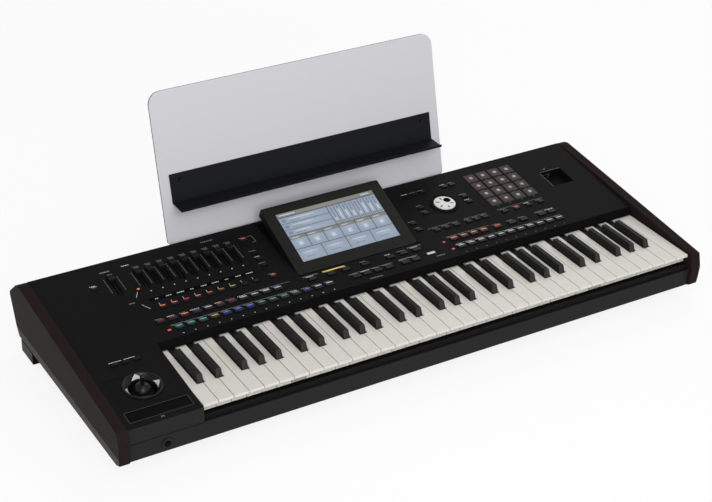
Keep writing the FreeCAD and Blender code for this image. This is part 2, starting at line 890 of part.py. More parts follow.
left_of_display = "-keys_left - display_width / 2 - left_column_gap"
right_of_display = "display_width / 2 - keys_left + right_column_gap"
left_of_dial = "key_pitch * (dial_column - dial_column_gap)"
right_of_dial = "key_pitch * (dial_column + dial_column_gap)"
PADS_ACROSS = 4
pad_left = "key_pitch * pad_first_column"
PANEL_BUTTONS = {
    "mixer_buttons": (
        row_of("small", "fader_column", "fader_step", 9, "middle_row")
        + column_of("small", "key_pitch * standby_column", ["standby_row"])
        + column_of("small", left_of_display, ["middle_row", "corner_high_row"])
        + column_of("small", left_of_display, ["dial_low_row", "dial_high_row", "rear_row"])
    ),
    "rhythm_buttons": (
        row_of("wide", 1.098, 0.8115, 11, "upper_row")
        + row_of("wide", 1.919, 0.8115, 14, "lower_row")
    ),
    "sound_buttons": (
        row_of("wide", 11.7, 0, 1, "upper_row")
        + row_of("wide", 13.1, 1.09, 2, "upper_row")
        + row_of("wide", 15.64, 0, 1, "upper_row")
        + row_of("wide", 17.53, 1.02, 3, "upper_row")
        + row_of("wide", 14.45, 0.816, 4, "lower_row")
        + row_of("wide", 18.17, 0.81, 2, "lower_row")
        + row_of("wide", 22.54, 0.8, 4, "upper_row")
        + row_of("wide", 26.06, 0, 1, "upper_row")
        + row_of("wide", 27.24, 0.96, 2, "upper_row")
        + row_of("wide", 29.72, 0.8, 2, "upper_row")
        + row_of("wide", 22.566, 0.8, 11, "lower_row")
        + row_of("small", 22.02, 0.78, 3, "middle_row")
        + row_of("small", 24.55, 0.68, 3, "middle_row")
        + row_of("small", 27.53, 0.99, 4, "middle_row")
        + column_of("small", right_of_display, ["corner_low_row", "corner_high_row"])
        + column_of("small", left_of_dial, ["dial_low_row", "dial_high_row"])
        + column_of("small", right_of_dial, ["dial_low_row", "dial_high_row"])
        + row_of("small", 22.13, 0.64, 3, "rear_row")
        + row_of("small", 25.23, 0.64, 2, "rear_row")
    ),
    "pads": [
        ("pad", f"{pad_left} + pad_pitch * {along}", f"pad_front_row + pad_pitch * {deep}")
        for along in range(PADS_ACROSS)
        for deep in range(PADS_ACROSS)
    ],
}
panel_cuts = []
for label, places in PANEL_BUTTONS.items():
    node(label, *[copy(CAPS[kind][0], x, y) for kind, x, y in places], frame="panel")
    panel_cuts += [copy(CAPS[kind][1], x, y) for kind, x, y in places]

cheek_places = [("small", f"cheek_button_step * {index}", "cheek_button_row") for index in (-1, 0, 1)]
node("cheek_buttons", *[copy(CAPS[kind][0], x, y) for kind, x, y in cheek_places], frame="cheek")
cheek_cuts = [copy(CAPS[kind][1], x, y) for kind, x, y in cheek_places]

# Faders: a gripped cap whose tongue runs in a slot of the panel and of the unit below
half_tongue = "fader_tongue_length / 2"
grip = rod(
    "fader_grip", "fader_grip_radius", "2 * fader_cap_width", "-fader_cap_width", 0,
    "fader_cap_lift + fader_cap_height + fader_grip_radius - fader_grip_depth", along="x",
)
fader_cap = block(
    "fader_cap",
    ("-fader_cap_width / 2", "-fader_cap_length / 2", "fader_cap_lift"),
    ("fader_cap_width / 2", "fader_cap_length / 2", "fader_cap_lift + fader_cap_height"),
)
fader_tongue = block(
    "fader_tongue",
    (
        "-fader_tongue_width / 2",
        f"-{half_tongue}",
        "2 * fader_tongue_clearance - wall - fader_body_height",
    ),
    ("fader_tongue_width / 2", half_tongue, "fader_cap_lift + fader_cap_height / 2"),
)
fader = fuse("fader", cut("fader_gripped_cap", fader_cap, grip), fader_tongue)
fader_slot = block(
    "fader_slot",
    (
        "-fader_tongue_width / 2 - fader_slot_fit",
        f"fader_front - {half_tongue} - fader_slot_fit",
        "fader_tongue_clearance - wall - fader_body_height",
    ),
    ("fader_tongue_width / 2 + fader_slot_fit", f"fader_rest + {half_tongue} + fader_slot_fit", "wall"),
)
fader_body = block(
    "fader_body",
    (
        "-fader_body_width / 2",
        f"fader_front - {half_tongue} - fader_body_margin",
        "-wall - fader_body_height",
    ),
    ("fader_body_width / 2", f"fader_rest + {half_tongue} + fader_body_margin", "-wall"),
)
fader_unit = cut("fader_unit", fader_body, fader_slot)
MIXER_FADERS = 9
fader_columns = {"volume_fader": "0"}
for index in range(MIXER_FADERS):
    fader_columns[f"mixer_fader_{index + 1}"] = f"key_pitch * (fader_column + fader_step * {index})"
for label, column in fader_columns.items():
    node(label, copy(fader, column, "fader_rest"), frame="panel")
node("fader_units", *[copy(fader_unit, column) for column in fader_columns.values()], frame="panel")
panel_cuts += [copy(fader_slot, column) for column in fader_columns.values()]

# Value dial: a disc with a finger dimple on a shaft, turning in an encoder under the panel
dial_x = "key_pitch * dial_column"
dial_top = "dial_lift + dial_height"
DIMPLE_ANGLE = 34
dimple = rod(
    "dial_dimple", "dial_dimple_radius", "2 * dial_dimple_depth",
    f"{dial_x} + dial_dimple_offset * cos({DIMPLE_ANGLE})",
    f"dial_row + dial_dimple_offset * sin({DIMPLE_ANGLE})",
    f"{dial_top} - dial_dimple_depth",
)
disc = rod("dial_disc", "dial_radius", "dial_height", dial_x, "dial_row", "dial_lift")
shaft = rod(
    "dial_shaft", "dial_shaft_radius", "board_depth - 2 * wall + dial_lift + dial_height / 2",
    dial_x, "dial_row", "2 * wall - board_depth",
)
node("value_dial", cut("dial_solid", fuse("dial_blank", disc, shaft), dimple), frame="panel")
bushing_radius = "dial_shaft_radius + encoder_bushing"
encoder_body = block(
    "encoder_body",
    (f"{dial_x} - encoder_size / 2", "dial_row - encoder_size / 2", "-board_depth"),
    (f"{dial_x} + encoder_size / 2", "dial_row + encoder_size / 2", "-wall"),
)
bushing = rod("encoder_bush", bushing_radius, "2 * wall", dial_x, "dial_row", "-2 * wall")
encoder_bore = rod(
    "encoder_bore", "dial_shaft_radius + running_clearance", "board_depth + wall",
    dial_x, "dial_row", "wall - board_depth",
)
encoder = cut("encoder", fuse("encoder_blank", encoder_body, bushing), encoder_bore)
node("dial_encoder", encoder, frame="panel")
panel_cuts.append(
    rod("bushing_hole", f"{bushing_radius} + jack_fit", "4 * wall", dial_x, "dial_row", "-2 * wall")
)
panel_cuts.append(
    rod("dial_well", "dial_ring_radius - dial_ring_width", "wall", dial_x, "dial_row", 0)
)
dial_ring = rod(
    "dial_ring", "dial_ring_radius", "dial_ring_rise + wall / 2", dial_x, "dial_row", "-wall / 2",
)

# Panel boards, held under the panel by bosses
row_between = "(lower_row + upper_row) / 2"
left_board_row = "middle_row + left_board_reach"
low_board_row = "middle_row - board_margin"
high_board_row = "rear_row + board_margin"
boss_places = [
    (0.9, row_between), (10.5, row_between), (20.9, row_between), (31.1, row_between),
    (0.9, left_board_row), (8.9, left_board_row),
    (20.9, low_board_row), (31.1, low_board_row), (20.9, high_board_row), (26.8, high_board_row),
]
panel_boss = rod("panel_boss", "boss_radius", "board_depth - wall / 2", 0, 0, "-board_depth")
panel_bosses = [copy(panel_boss, f"key_pitch * {column}", row) for column, row in boss_places]


def panel_board(name, first_column, last_column, front, rear):
    return block(
        name,
        (f"key_pitch * {first_column}", front, "-board_depth - board_thickness"),
        (f"key_pitch * {last_column}", rear, "-board_depth"),
    )


board_start = "middle_row - 2 * small_button_width"
node(
    "panel_boards",
    panel_board("front_board", 0.65, 31.3, "board_edge", "upper_row + wide_button_width"),
    panel_board("left_board", 0.65, 9.1, board_start, f"{left_board_row} + 2 * boss_radius"),
    panel_board("right_board", 20.6, 31.3, board_start, f"{high_board_row} + 2 * boss_radius"),
    frame="panel",
)

# Display: a tilting housing with a screen let into it, on two pins in the walls of a tub
panel_middle = "(-keys_left)"
tub_inner = block(
    "tub_inner",
    (f"{panel_middle} - tub_half", "tub_front", "-tub_depth"),
    (f"{panel_middle} + tub_half", "tub_rear", "2 * wall"),
)
tub_outer = block(
    "tub_outer",
    (f"{panel_middle} - tub_half - wall", "tub_front - wall", "-tub_depth - wall"),
    (f"{panel_middle} + tub_half + wall", "tub_rear + wall", "-wall"),
)
tub_pin_hole = rod(
    "tub_pin_hole", "hinge_pin_radius + press_clearance", "2 * display_width",
    f"{panel_middle} - display_width", "display_hinge_row", "-display_hinge_depth", along="x",
)
node("display_tub", cut("tub", tub_outer, tub_inner, tub_pin_hole), frame="panel")
panel_cuts.append(tub_inner)

half_display = "display_width / 2"
housing = extrude(
    "housing", "XY_Plane",
    [
        (f"-{half_display}", "-display_hinge_edge"),
        (half_display, "-display_hinge_edge"),
        (half_display, "display_reach"),
        (f"-{half_display}", "display_reach"),
    ],
    "display_thickness",
    downwards=True,
)
round_edges(housing, "housing_corners", "display_corner", lambda edge: lies_along(edge, (0, 0, 1)))
move(housing, z="display_hinge_face")
screen_low = "screen_bottom - display_hinge_edge"
screen_back = "display_hinge_face - screen_sink - screen_thickness"
screen_recess = block(
    "screen_recess",
    ("-screen_width / 2 - screen_fit", f"{screen_low} - screen_fit", screen_back),
    (
        "screen_width / 2 + screen_fit",
        f"{screen_low} + screen_length + screen_fit",
        "2 * display_hinge_face",
    ),
)
pin_bore_radius = "hinge_pin_radius + running_clearance"
pin_bores = [
    rod(f"pin_bore_{side}", pin_bore_radius, "hinge_pin_reach + 2 * wall", start, along="x")
    for side, start in (
        ("left", f"-{half_display} - wall"),
        ("right", f"{half_display} - hinge_pin_reach - wall"),
    )
]
node("display_housing", cut("housing_solid", housing, screen_recess, *pin_bores), frame="display")
node(
    "display_screen",
    box(
        "screen", "screen_width", "screen_length", "screen_thickness",
        "-screen_width / 2", screen_low, screen_back,
    ),
    frame="display",
)
pin_length = "hinge_pin_reach + display_side_gap + wall"
node(
    "display_hinge_pins",
    rod("left_pin", "hinge_pin_radius", pin_length, "-tub_half - wall", along="x"),
    rod("right_pin", "hinge_pin_radius", pin_length, f"{half_display} - hinge_pin_reach", along="x"),
    frame="display",
)

# Data stick pocket: a moulded well with a socket in its rear wall
usb_x = "key_pitch * usb_column"
half_well = "usb_pocket_size / 2"
well_outer = block(
    "well_outer",
    (f"{usb_x} - {half_well} - wall", f"usb_row - {half_well} - wall", "-usb_pocket_depth - wall"),
    (f"{usb_x} + {half_well} + wall", f"usb_row + {half_well} + wall", "-wall / 2"),
)
panel_cuts.append(
    block(
        "well_inner",
        (f"{usb_x} - {half_well}", f"usb_row - {half_well}", "-usb_pocket_depth"),
        (f"{usb_x} + {half_well}", f"usb_row + {half_well}", "wall"),
    )
)
socket_left = f"{usb_x} - usb_offset - usb_width / 2"
socket_front = f"usb_row + {half_well} - press_clearance"
socket_low = "(-wall - usb_pocket_depth - usb_height) / 2"


def socket_block(name, front, back, inset):
    return block(
        name,
        (f"{socket_left} + {inset}", front, f"{socket_low} + {inset}"),
        (f"{socket_left} + usb_width - {inset}", back, f"{socket_low} + usb_height - {inset}"),
    )


well_rear = f"usb_row + {half_well}"
panel_cuts.append(
    socket_block("socket_hole", f"{well_rear} - wall", f"{well_rear} + 2 * wall", "(-jack_fit)")
)
socket_rear = f"{socket_front} + usb_length"
socket_shell = cut(
    "socket_shell",
    socket_block("socket_outer", socket_front, socket_rear, "0"),
    socket_block("socket_inner", f"{socket_front} - wall", f"{socket_rear} - usb_tongue", "usb_shell"),
)
tongue_top = f"{socket_low} + usb_height - usb_shell"
socket_tongue = block(
    "socket_tongue",
    (f"{socket_left} + 2 * usb_tongue", f"{socket_front} + usb_tongue", f"{tongue_top} - usb_tongue"),
    (f"{socket_left} + usb_width - 2 * usb_tongue", f"{socket_rear} - usb_shell", tongue_top),
)
node("usb_socket", fuse("usb_solid", socket_shell, socket_tongue), frame="panel")

# Joystick: a plate with a funnel let into the cheek, a cup with two posts, a gimbal, a ball and a stem


def inlay(name, half_length, front, length, top):
    """A plate that fills an opening of the cheek, with a flange under its edges."""
    bottom = "-(wall + inlay_flange_height)"
    plate = block(
        f"{name}_plate",
        (f"inlay_fit - {half_length}", f"{front} + inlay_fit", bottom),
        (f"{half_length} - inlay_fit", f"{front} + {length} - inlay_fit", top),
    )
    flange = block(
        f"{name}_flange",
        (f"-{half_length} - inlay_flange", f"{front} - inlay_flange", bottom),
        (f"{half_length} + inlay_flange", f"{front} + {length} + inlay_flange", "-wall"),
    )
    hole = block(
        f"{name}_hole",
        (f"-{half_length}", front, "-2 * wall"),
        (half_length, f"{front} + {length}", "wall"),
    )
    return [plate, flange], hole


plate_solids, plate_hole = inlay(
    "joystick_plate", "joystick_plate_width / 2",
    "joystick_plate_front", "joystick_plate_length", "0",
)
cheek_cuts.append(plate_hole)
joystick_ring = rod(
    "joystick_ring", "joystick_ring_radius", "joystick_ring_rise + wall", 0, "joystick_row", "-wall",
)
funnel = doc.addObject("Part::Cone", "funnel")
bind(
    funnel,
    Radius1="joystick_throat_radius - funnel_slope * wall",
    Radius2="joystick_ring_radius - joystick_ring_edge + funnel_slope * wall",
    Height="funnel_depth + 2 * wall",
)
move(funnel, 0, "joystick_row", "-cup_top - wall")
node(
    "joystick_panel",
    cut("joystick_panel_solid", fuse("joystick_panel_blank", *plate_solids, joystick_ring), funnel),
    frame="cheek",
)

pivot = "(-joystick_pivot_depth)"
cup_floor = f"{pivot} - joystick_cup_depth"
cup_outer = rod(
    "cup_outer", "cup_inner + joystick_cup_wall",
    "joystick_pivot_depth + joystick_cup_depth + wall - cup_top",
    0, "joystick_row", f"{cup_floor} - wall",
)
cup_hollow = rod("cup_hollow", "cup_inner", "2 * joystick_pivot_depth", 0, "joystick_row", cup_floor)
posts = [
    block(
        f"post_{side}",
        (near, "joystick_row - post_width", f"{cup_floor} - wall / 2"),
        (far, "joystick_row + post_width", f"{pivot} + post_cover"),
    )
    for side, near, far in (
        ("left", "-gimbal_reach - post_thickness", "-gimbal_reach"),
        ("right", "gimbal_reach", "gimbal_reach + post_thickness"),
    )
]
post_bore = rod(
    "post_bore", "gimbal_pin_radius + running_clearance", "2 * (gimbal_reach + post_thickness)",
    "-gimbal_reach - post_thickness", "joystick_row", pivot, along="x",
)
cup = cut("cup", cup_outer, cup_hollow)
cup_and_posts = fuse("cup_and_posts", cup, *posts)
node("joystick_housing", cut("joystick_housing_solid", cup_and_posts, post_bore), frame="cheek")


def centred(name, half_length, half_width, half_height):
    """A box centred on the joystick's pivot."""
    return block(
        name,
        (f"-({half_length})", f"joystick_row - ({half_width})", f"{pivot} - {half_height}"),
        (half_length, f"joystick_row + {half_width}", f"{pivot} + {half_height}"),
    )


gimbal_ring = cut(
    "gimbal_ring",
    centred("gimbal_outer", "gimbal_length", "gimbal_width", "gimbal_height"),
    centred("gimbal_inner", "gimbal_length - gimbal_bar", "gimbal_width - gimbal_bar", "2 * gimbal_height"),
)
trunnion_length = "gimbal_gap + post_thickness + gimbal_bar / 2"
trunnions = [
    rod(f"trunnion_{side}", "gimbal_pin_radius", trunnion_length, start, "joystick_row", pivot, along="x")
    for side, start in (
        ("left", "-gimbal_reach - post_thickness"),
        ("right", "gimbal_length - gimbal_bar / 2"),
    )
]
stick_bore = rod(
    "stick_bore", "gimbal_pin_radius + running_clearance", "4 * gimbal_width",
    0, "joystick_row - 2 * gimbal_width", pivot, along="y",
)
gimbal_blank = fuse("gimbal_blank", gimbal_ring, *trunnions)
node("joystick_gimbal", cut("gimbal", gimbal_blank, stick_bore), frame="cheek")


def sphere(name, radius, height=0, lowest=-90):
    """A ball on the joystick's axis, or the part of it above a latitude."""
    solid = doc.addObject("Part::Sphere", name)
    bind(solid, Radius=radius, Angle1=lowest)
    return move(solid, 0, "joystick_row", f"{pivot} + {height}")


dome = cut(
    "dome",
    sphere("dome_outer", "joystick_dome_radius", lowest="90 - joystick_dome_angle"),
    sphere("dome_inner", "joystick_dome_radius - joystick_dome_skin"),
)
stem_foot = "joystick_stem_radius"
stem = rod(
    "stick_stem", "joystick_stem_radius", f"joystick_tip_height + {stem_foot}",
    0, "joystick_row", f"{pivot} - {stem_foot}",
)
cross_pin = rod(
    "cross_pin", "gimbal_pin_radius", "2 * gimbal_width", 0, "joystick_row - gimbal_width", pivot, along="y",
)
ball = sphere("stick_ball", "joystick_ball_radius", "joystick_ball_height")
tip = sphere("stick_tip", "joystick_tip_radius", "joystick_tip_height")
node("joystick_stick", fuse("stick", dome, stem, cross_pin, ball, tip), frame="cheek")

# Touch strip, let into the cheek in front of the joystick
strip_solids, strip_hole = inlay("strip", "strip_width / 2", "strip_front", "strip_length", "-strip_sink")
cheek_cuts.append(strip_hole)
node("touch_strip", fuse("strip_solid", *strip_solids), frame="cheek")

# Music stand: a rounded plate, an angle ledge, two legs, and the sockets that the legs stand in
half_plate = "stand_width / 2"
plate = extrude(
    "plate", "XY_Plane",
    [
        (f"-{half_plate}", "-stand_foot"),
        (half_plate, "-stand_foot"),
        (half_plate, "stand_height"),
        (f"-{half_plate}", "stand_height"),
    ],
    "stand_thickness",
    downwards=True,
)


def stands_up_from(edge, height):
    """True for an edge through the plate's thickness at a height above the plate's base."""
    start = edge.Vertexes[0].Point
    return lies_along(edge, (0, 0, 1)) and abs(start.y - measure(height)) < 1e-4


round_edges(plate, "top_corners", "stand_corner", lambda edge: stands_up_from(edge, "stand_height"))
round_edges(plate, "foot_corners", "stand_foot_corner", lambda edge: stands_up_from(edge, "-stand_foot"))
node("stand_plate", plate, frame="stand")

# The shelf is level while the plate leans: one step forward and one step up, in the plate's own axes
forward = ("-sin(stand_lean)", "cos(stand_lean)")
upward = ("cos(stand_lean)", "sin(stand_lean)")


def shelf_point(out, rise):
    """A point of the ledge's side view, so far out from its lower rear corner and so far above it."""
    return (
        f"ledge_bottom + ({out}) * ({forward[0]}) + ({rise}) * {upward[0]}",
        f"({out}) * {forward[1]} + ({rise}) * {upward[1]}",
    )


bend = shelf_point("ledge_sheet * (1 - sin(stand_lean)) / cos(stand_lean)", "ledge_sheet")
ledge = extrude(
    "ledge", "YZ_Plane",
    [
        ("ledge_top", "0"),
        ("ledge_bottom", "0"),
        shelf_point("ledge_depth", "0"),
        shelf_point("ledge_depth", "ledge_lip"),
        shelf_point("ledge_depth - ledge_sheet", "ledge_lip"),
        shelf_point("ledge_depth - ledge_sheet", "ledge_sheet"),
        bend,
        ("ledge_top", "ledge_sheet"),
    ],
    "ledge_width",
)
move(ledge, "-ledge_width / 2")
node("stand_ledge", ledge, frame="stand")


def upright(name, extra, bottom, top):
    """A leg-shaped box round the middle of a leg, wider by some extra all round."""
    return block(
        name,
        (f"-leg_width / 2 - ({extra})", bottom, f"-plate_rear - ({extra})"),
        (f"leg_width / 2 + {extra}", top, f"{extra} - stand_thickness"),
    )


leg = upright("leg", "0", "-leg_down", "leg_up")
socket_bottom = "-leg_down - socket_fit"
stand_socket = cut(
    "stand_socket",
    upright(
        "stand_socket_outer", "socket_fit + socket_wall",
        f"{socket_bottom} - socket_floor", "-stand_foot - socket_clearance",
    ),
    upright("stand_socket_inner", "socket_fit", socket_bottom, "leg_up"),
)
stand_opening = upright("stand_opening", "2 * socket_fit + socket_wall", "-2 * leg_down", "leg_up")
sides = ("-leg_spread", "leg_spread")
node("stand_legs", *[copy(leg, side) for side in sides], frame="stand")
node("stand_sockets", *[copy(stand_socket, side) for side in sides], frame="stand")
stand_cuts = [copy(stand_opening, side) for side in sides]

# Upper case: control panel, its fascia over the keys, the rear slope and the left cheek
lip_height = "key_top + fascia_clearance"
slope_share = "wall / (1 + cos(panel_tilt + rear_slope))"
top_shell = extrude(
    "top_shell", "YZ_Plane",
    [
        ("panel_front - fascia_lean", lip_height),
        ("panel_front", "panel_height"),
        ("panel_rear", "panel_rear_height"),
        ("rear_top", "rear_top_height"),
        ("rear_top - wall * sin(rear_slope)", "rear_top_height - wall * cos(rear_slope)"),
        (
            f"panel_rear + {slope_share} * (sin(panel_tilt) - sin(rear_slope))",
            f"panel_rear_height - {slope_share} * (cos(panel_tilt) + cos(rear_slope))",
        ),
        (
            "panel_front + fascia_thickness",
            "panel_height + fascia_thickness * tan(panel_tilt) - wall / cos(panel_tilt)",
        ),
        ("panel_front - fascia_lean + fascia_thickness", lip_height),
    ],
    inner_width,
)
move(top_shell, "-inner_half")
cheek_shell = extrude(
    "cheek_shell", "YZ_Plane",
    [
        ("-front_overhang", "seam"),
        ("-front_overhang", "cheek_height"),
        ("panel_front", "panel_height"),
        ("panel_front", "panel_height - wall / cos(cheek_tilt)"),
        ("wall - front_overhang", "cheek_height + wall * tan(cheek_tilt) - wall / cos(cheek_tilt)"),
        ("wall - front_overhang", "seam"),
    ],
    "cheek_right + inner_half",
)
move(cheek_shell, "-inner_half")
cheek_side = extrude(
    "cheek_side", "YZ_Plane",
    [
        ("-front_overhang", "seam"),
        ("-front_overhang", "cheek_height"),
        ("panel_front", "panel_height"),
        ("panel_front", "seam"),
    ],
    "wall",
)
move(cheek_side, "cheek_right - wall")
panel_additions = seat(group("panel_additions", dial_ring, well_outer, *panel_bosses), "panel")
shell = fuse("upper_case_blank", top_shell, cheek_shell, cheek_side, panel_additions)
node(
    "upper_case",
    cut(
        "upper_case_solid",
        shell,
        seat(group("panel_openings", *panel_cuts), "panel"),
        seat(group("cheek_openings", *cheek_cuts), "cheek"),
        seat(group("stand_openings", *stand_cuts), "stand"),
    ),
)

# Rear panel with its sockets
jack = cut(
    "jack",
    fuse(
        "jack_blank",
        rod("jack_body", "jack_radius", "jack_length"),
        rod("jack_nut", "jack_nut_radius", "jack_nut_height", 0, 0, "-jack_nut_height"),
    ),
    rod("jack_hole", "jack_bore", "jack_bore_depth", 0, 0, "-jack_nut_height"),
)
REAR_JACKS = 6
jack_columns = [f"key_pitch * (rear_jack_column + rear_jack_step * {index})" for index in range(REAR_JACKS)]
rear_row_of_jacks = [copy(jack, x, "rear_jack_height") for x in jack_columns]
rear_jacks = seat(group("rear_jacks", *rear_row_of_jacks), "rear")
headphone_jack = move(copy(jack), "cheek_middle", "-front_overhang", "headphone_rise", turn=-90)
node("jack_sockets", headphone_jack, rear_jacks)

inlet_x = "(-inlet_column * key_pitch)"


def inlet_block(name, extra, near, far):
    """A box of the mains inlet's outline, wider by some extra all round."""
    half_width = f"(inlet_width / 2 + {extra})"
    half_height = f"(inlet_height / 2 + {extra})"
    return block(
        name,
        (f"{inlet_x} - {half_width}", f"rear_jack_height - {half_height}", near),
        (f"{inlet_x} + {half_width}", f"rear_jack_height + {half_height}", far),
    )


blades = [
    box(
        f"inlet_blade_{number}", "inlet_blade_thickness", "inlet_blade_width", "inlet_blade_length",
        f"{inlet_x} + inlet_blade_step * {number - 1} - inlet_blade_thickness / 2",
        "rear_jack_height - inlet_blade_width / 2",
        "inlet_cavity - inlet_blade_length",
    )
    for number in range(3)
]
inlet_shell = cut(
    "inlet_shell",
    fuse(
        "inlet_blank",
        inlet_block("inlet_body", "0", "0", "inlet_depth"),
        inlet_block("inlet_flange_plate", "inlet_flange", "-inlet_rim", "0"),
    ),
    inlet_block("inlet_mouth", "(-inlet_rim)", "-2 * inlet_rim", "inlet_cavity - inlet_rim"),
)
node("mains_inlet", fuse("inlet_solid", inlet_shell, *blades), frame="rear")

rear_sheet = box(
    "rear_sheet", inner_width, "rear_drop / sin(rear_angle) - rear_joint_gap", "wall", "-inner_half",
)
jack_clearing = rod("jack_clearing", "jack_radius + jack_fit", "4 * wall", 0, 0, "-wall")
rear_cuts = [copy(jack_clearing, x, "rear_jack_height") for x in jack_columns]
rear_cuts.append(inlet_block("inlet_hole", "jack_fit", "-wall", "2 * wall"))
node("rear_panel", cut("rear_panel_solid", rear_sheet, *rear_cuts), frame="rear")

# Everything is worked out and looked over before anything is written
doc.recompute()
for obj in doc.Objects:
    if "Invalid" in obj.State or "Error" in obj.State:
        raise RuntimeError(f"{obj.Label} did not build: {obj.State}")
for piece in finished_nodes:
    if piece.Shape.isNull() or not piece.Shape.isValid() or not piece.Shape.Solids:
        raise RuntimeError(f"{piece.Label} has no valid solid")

os.makedirs("parts", exist_ok=True)
for piece in finished_nodes:
    piece.Shape.exportStep(f"parts/{piece.Label}.step")
print(len(finished_nodes), "pieces written")
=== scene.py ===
# %% [markdown]
# # An arranger keyboard, dressed in Blender
# The solids, their places and their joints come packed from CAD. This lesson gives them their
# looks: softened edges, paint, plastic and rubber, printed marks, lamps and a lit screen.
# Everything is in metres in the frame of the solids, so each new piece is drawn where it belongs.

import json
import math

import bmesh
import bpy
from mathutils import Matrix, Vector

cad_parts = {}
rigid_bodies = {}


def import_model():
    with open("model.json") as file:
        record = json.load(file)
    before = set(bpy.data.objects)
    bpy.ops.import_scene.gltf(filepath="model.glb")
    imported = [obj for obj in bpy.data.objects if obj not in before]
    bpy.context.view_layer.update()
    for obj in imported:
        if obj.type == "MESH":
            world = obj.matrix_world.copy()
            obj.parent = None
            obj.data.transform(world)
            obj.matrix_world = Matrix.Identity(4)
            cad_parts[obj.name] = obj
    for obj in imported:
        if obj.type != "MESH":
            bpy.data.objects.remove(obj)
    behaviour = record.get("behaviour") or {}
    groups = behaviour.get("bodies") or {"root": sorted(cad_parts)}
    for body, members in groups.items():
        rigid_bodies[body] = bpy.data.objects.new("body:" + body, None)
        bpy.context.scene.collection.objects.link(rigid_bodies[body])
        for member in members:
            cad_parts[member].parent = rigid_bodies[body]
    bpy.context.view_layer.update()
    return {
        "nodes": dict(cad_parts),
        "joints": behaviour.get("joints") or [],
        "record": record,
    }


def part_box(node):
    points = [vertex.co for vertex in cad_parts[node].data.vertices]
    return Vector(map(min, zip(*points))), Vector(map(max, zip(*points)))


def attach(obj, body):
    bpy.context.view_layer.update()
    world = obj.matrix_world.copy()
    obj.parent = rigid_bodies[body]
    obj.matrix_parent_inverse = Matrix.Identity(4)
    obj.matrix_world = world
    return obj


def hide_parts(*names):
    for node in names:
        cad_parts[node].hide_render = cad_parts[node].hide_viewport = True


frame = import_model()
MM = 0.001

# %% [markdown]
# The keyboard is seen from the front left and from above, about two and a half metres away. The
# camera could be placed by eye, but the keys repeat exactly, so its lens and place were worked out
# from their corners. The image is 712 pixels wide, which turns the focal length into a lens.

# %% Camera
IMAGE_WIDTH = 712
FOCAL_PIXELS = 1718.2
SENSOR = 36
azimuth = math.radians(-30.86)
elevation = math.radians(30.19)
roll = math.radians(1.16)
camera_data = bpy.data.cameras.new("camera")
camera_data.sensor_width = SENSOR
camera_data.lens = SENSOR * FOCAL_PIXELS / IMAGE_WIDTH
camera = bpy.data.objects.new("camera", camera_data)
bpy.context.scene.collection.objects.link(camera)
backwards = Vector(
    (
        math.sin(azimuth) * math.cos(elevation),
        -math.cos(azimuth) * math.cos(elevation),
        math.sin(elevation),
    )
)
level = Vector((0, 0, 1)).cross(backwards).normalized()
upright = backwards.cross(level)
camera_across = level * math.cos(roll) + upright * math.sin(roll)
camera_above = upright * math.cos(roll) - level * math.sin(roll)
camera_turn = Matrix((camera_across, camera_above, backwards)).transposed().to_4x4()
camera_place = Vector((-1171.3, -1945.5, 1435.0)) * MM
camera.matrix_world = Matrix.Translation(camera_place) @ camera_turn
bpy.context.scene.camera = camera
bpy.context.scene.view_settings.view_transform = "Standard"
print("lens:", round(camera_data.lens, 2), "mm")

# %% [markdown]
# Two small tools serve every finish below. Colours are written as sRGB codes, as in a paint
# program, while Blender mixes light in linear values, so one function converts them. The other
# adds a node, gives its sockets values or links, and sets its options.

# %% Colour and node tools
def linear(code):
    """A hex colour such as #d8d5cf as linear red, green, blue and alpha."""
    parts = [int(code[i:i + 2], 16) / 255 for i in (1, 3, 5)]
    return [p / 12.92 if p <= 0.04045 else ((p + 0.055) / 1.055) ** 2.4 for p in parts] + [1.0]


def add(owner, kind, sockets=None, **options):
    """One node in a material or world. A socket takes a value or another node's output."""
    node = owner.node_tree.nodes.new(kind)
    for option, value in options.items():
        setattr(node, option, value)
    for socket, value in (sockets or {}).items():
        if isinstance(value, bpy.types.NodeSocket):
            owner.node_tree.links.new(value, node.inputs[socket])
        else:
            node.inputs[socket].default_value = value
    return node


def blank(name):
    """A material with nodes and none in it yet."""
    material = bpy.data.materials.new(name)
    material.use_nodes = True
    material.node_tree.nodes.clear()
    return material


print("mid grey is", [round(value, 3) for value in linear("#808080")[:3]])

# %% [markdown]
# Product pictures are taken on a white sweep: a floor that curves up into a wall. Spinning one
# short profile makes a shallow bowl of it, so that every view round the keyboard has it behind.
# To the eye, and in reflections, the sweep is nearly white by itself, and the rest of its tone
# comes from the lamps, so a soft shadow stays under the case.

# %% Sweep and light
SWEEP_RADIUS = 7.0
SWEEP_CURVE = 2.4
sweep_shape = bmesh.new()
profile = [(0, 0), (SWEEP_RADIUS - SWEEP_CURVE, 0)]
for step in range(1, 10):
    bend = math.radians(10 * step)
    reach = SWEEP_RADIUS - SWEEP_CURVE + SWEEP_CURVE * math.sin(bend)
    profile.append((reach, SWEEP_CURVE - SWEEP_CURVE * math.cos(bend)))
corners = [sweep_shape.verts.new((reach, 0, rise)) for reach, rise in profile]
runs = [sweep_shape.edges.new(pair) for pair in zip(corners, corners[1:])]
bmesh.ops.spin(
    sweep_shape, geom=corners + runs, cent=(0, 0, 0), axis=(0, 0, 1),
    angle=math.tau, steps=48, use_merge=True,
)
bmesh.ops.remove_doubles(sweep_shape, verts=sweep_shape.verts, dist=MM)
bmesh.ops.recalc_face_normals(sweep_shape, faces=sweep_shape.faces)
sweep_mesh = bpy.data.meshes.new("sweep")
sweep_shape.to_mesh(sweep_mesh)
sweep_shape.free()
sweep_mesh.polygons.foreach_set("use_smooth", [True] * len(sweep_mesh.polygons))
sweep = bpy.data.objects.new("sweep", sweep_mesh)
bpy.context.scene.collection.objects.link(sweep)

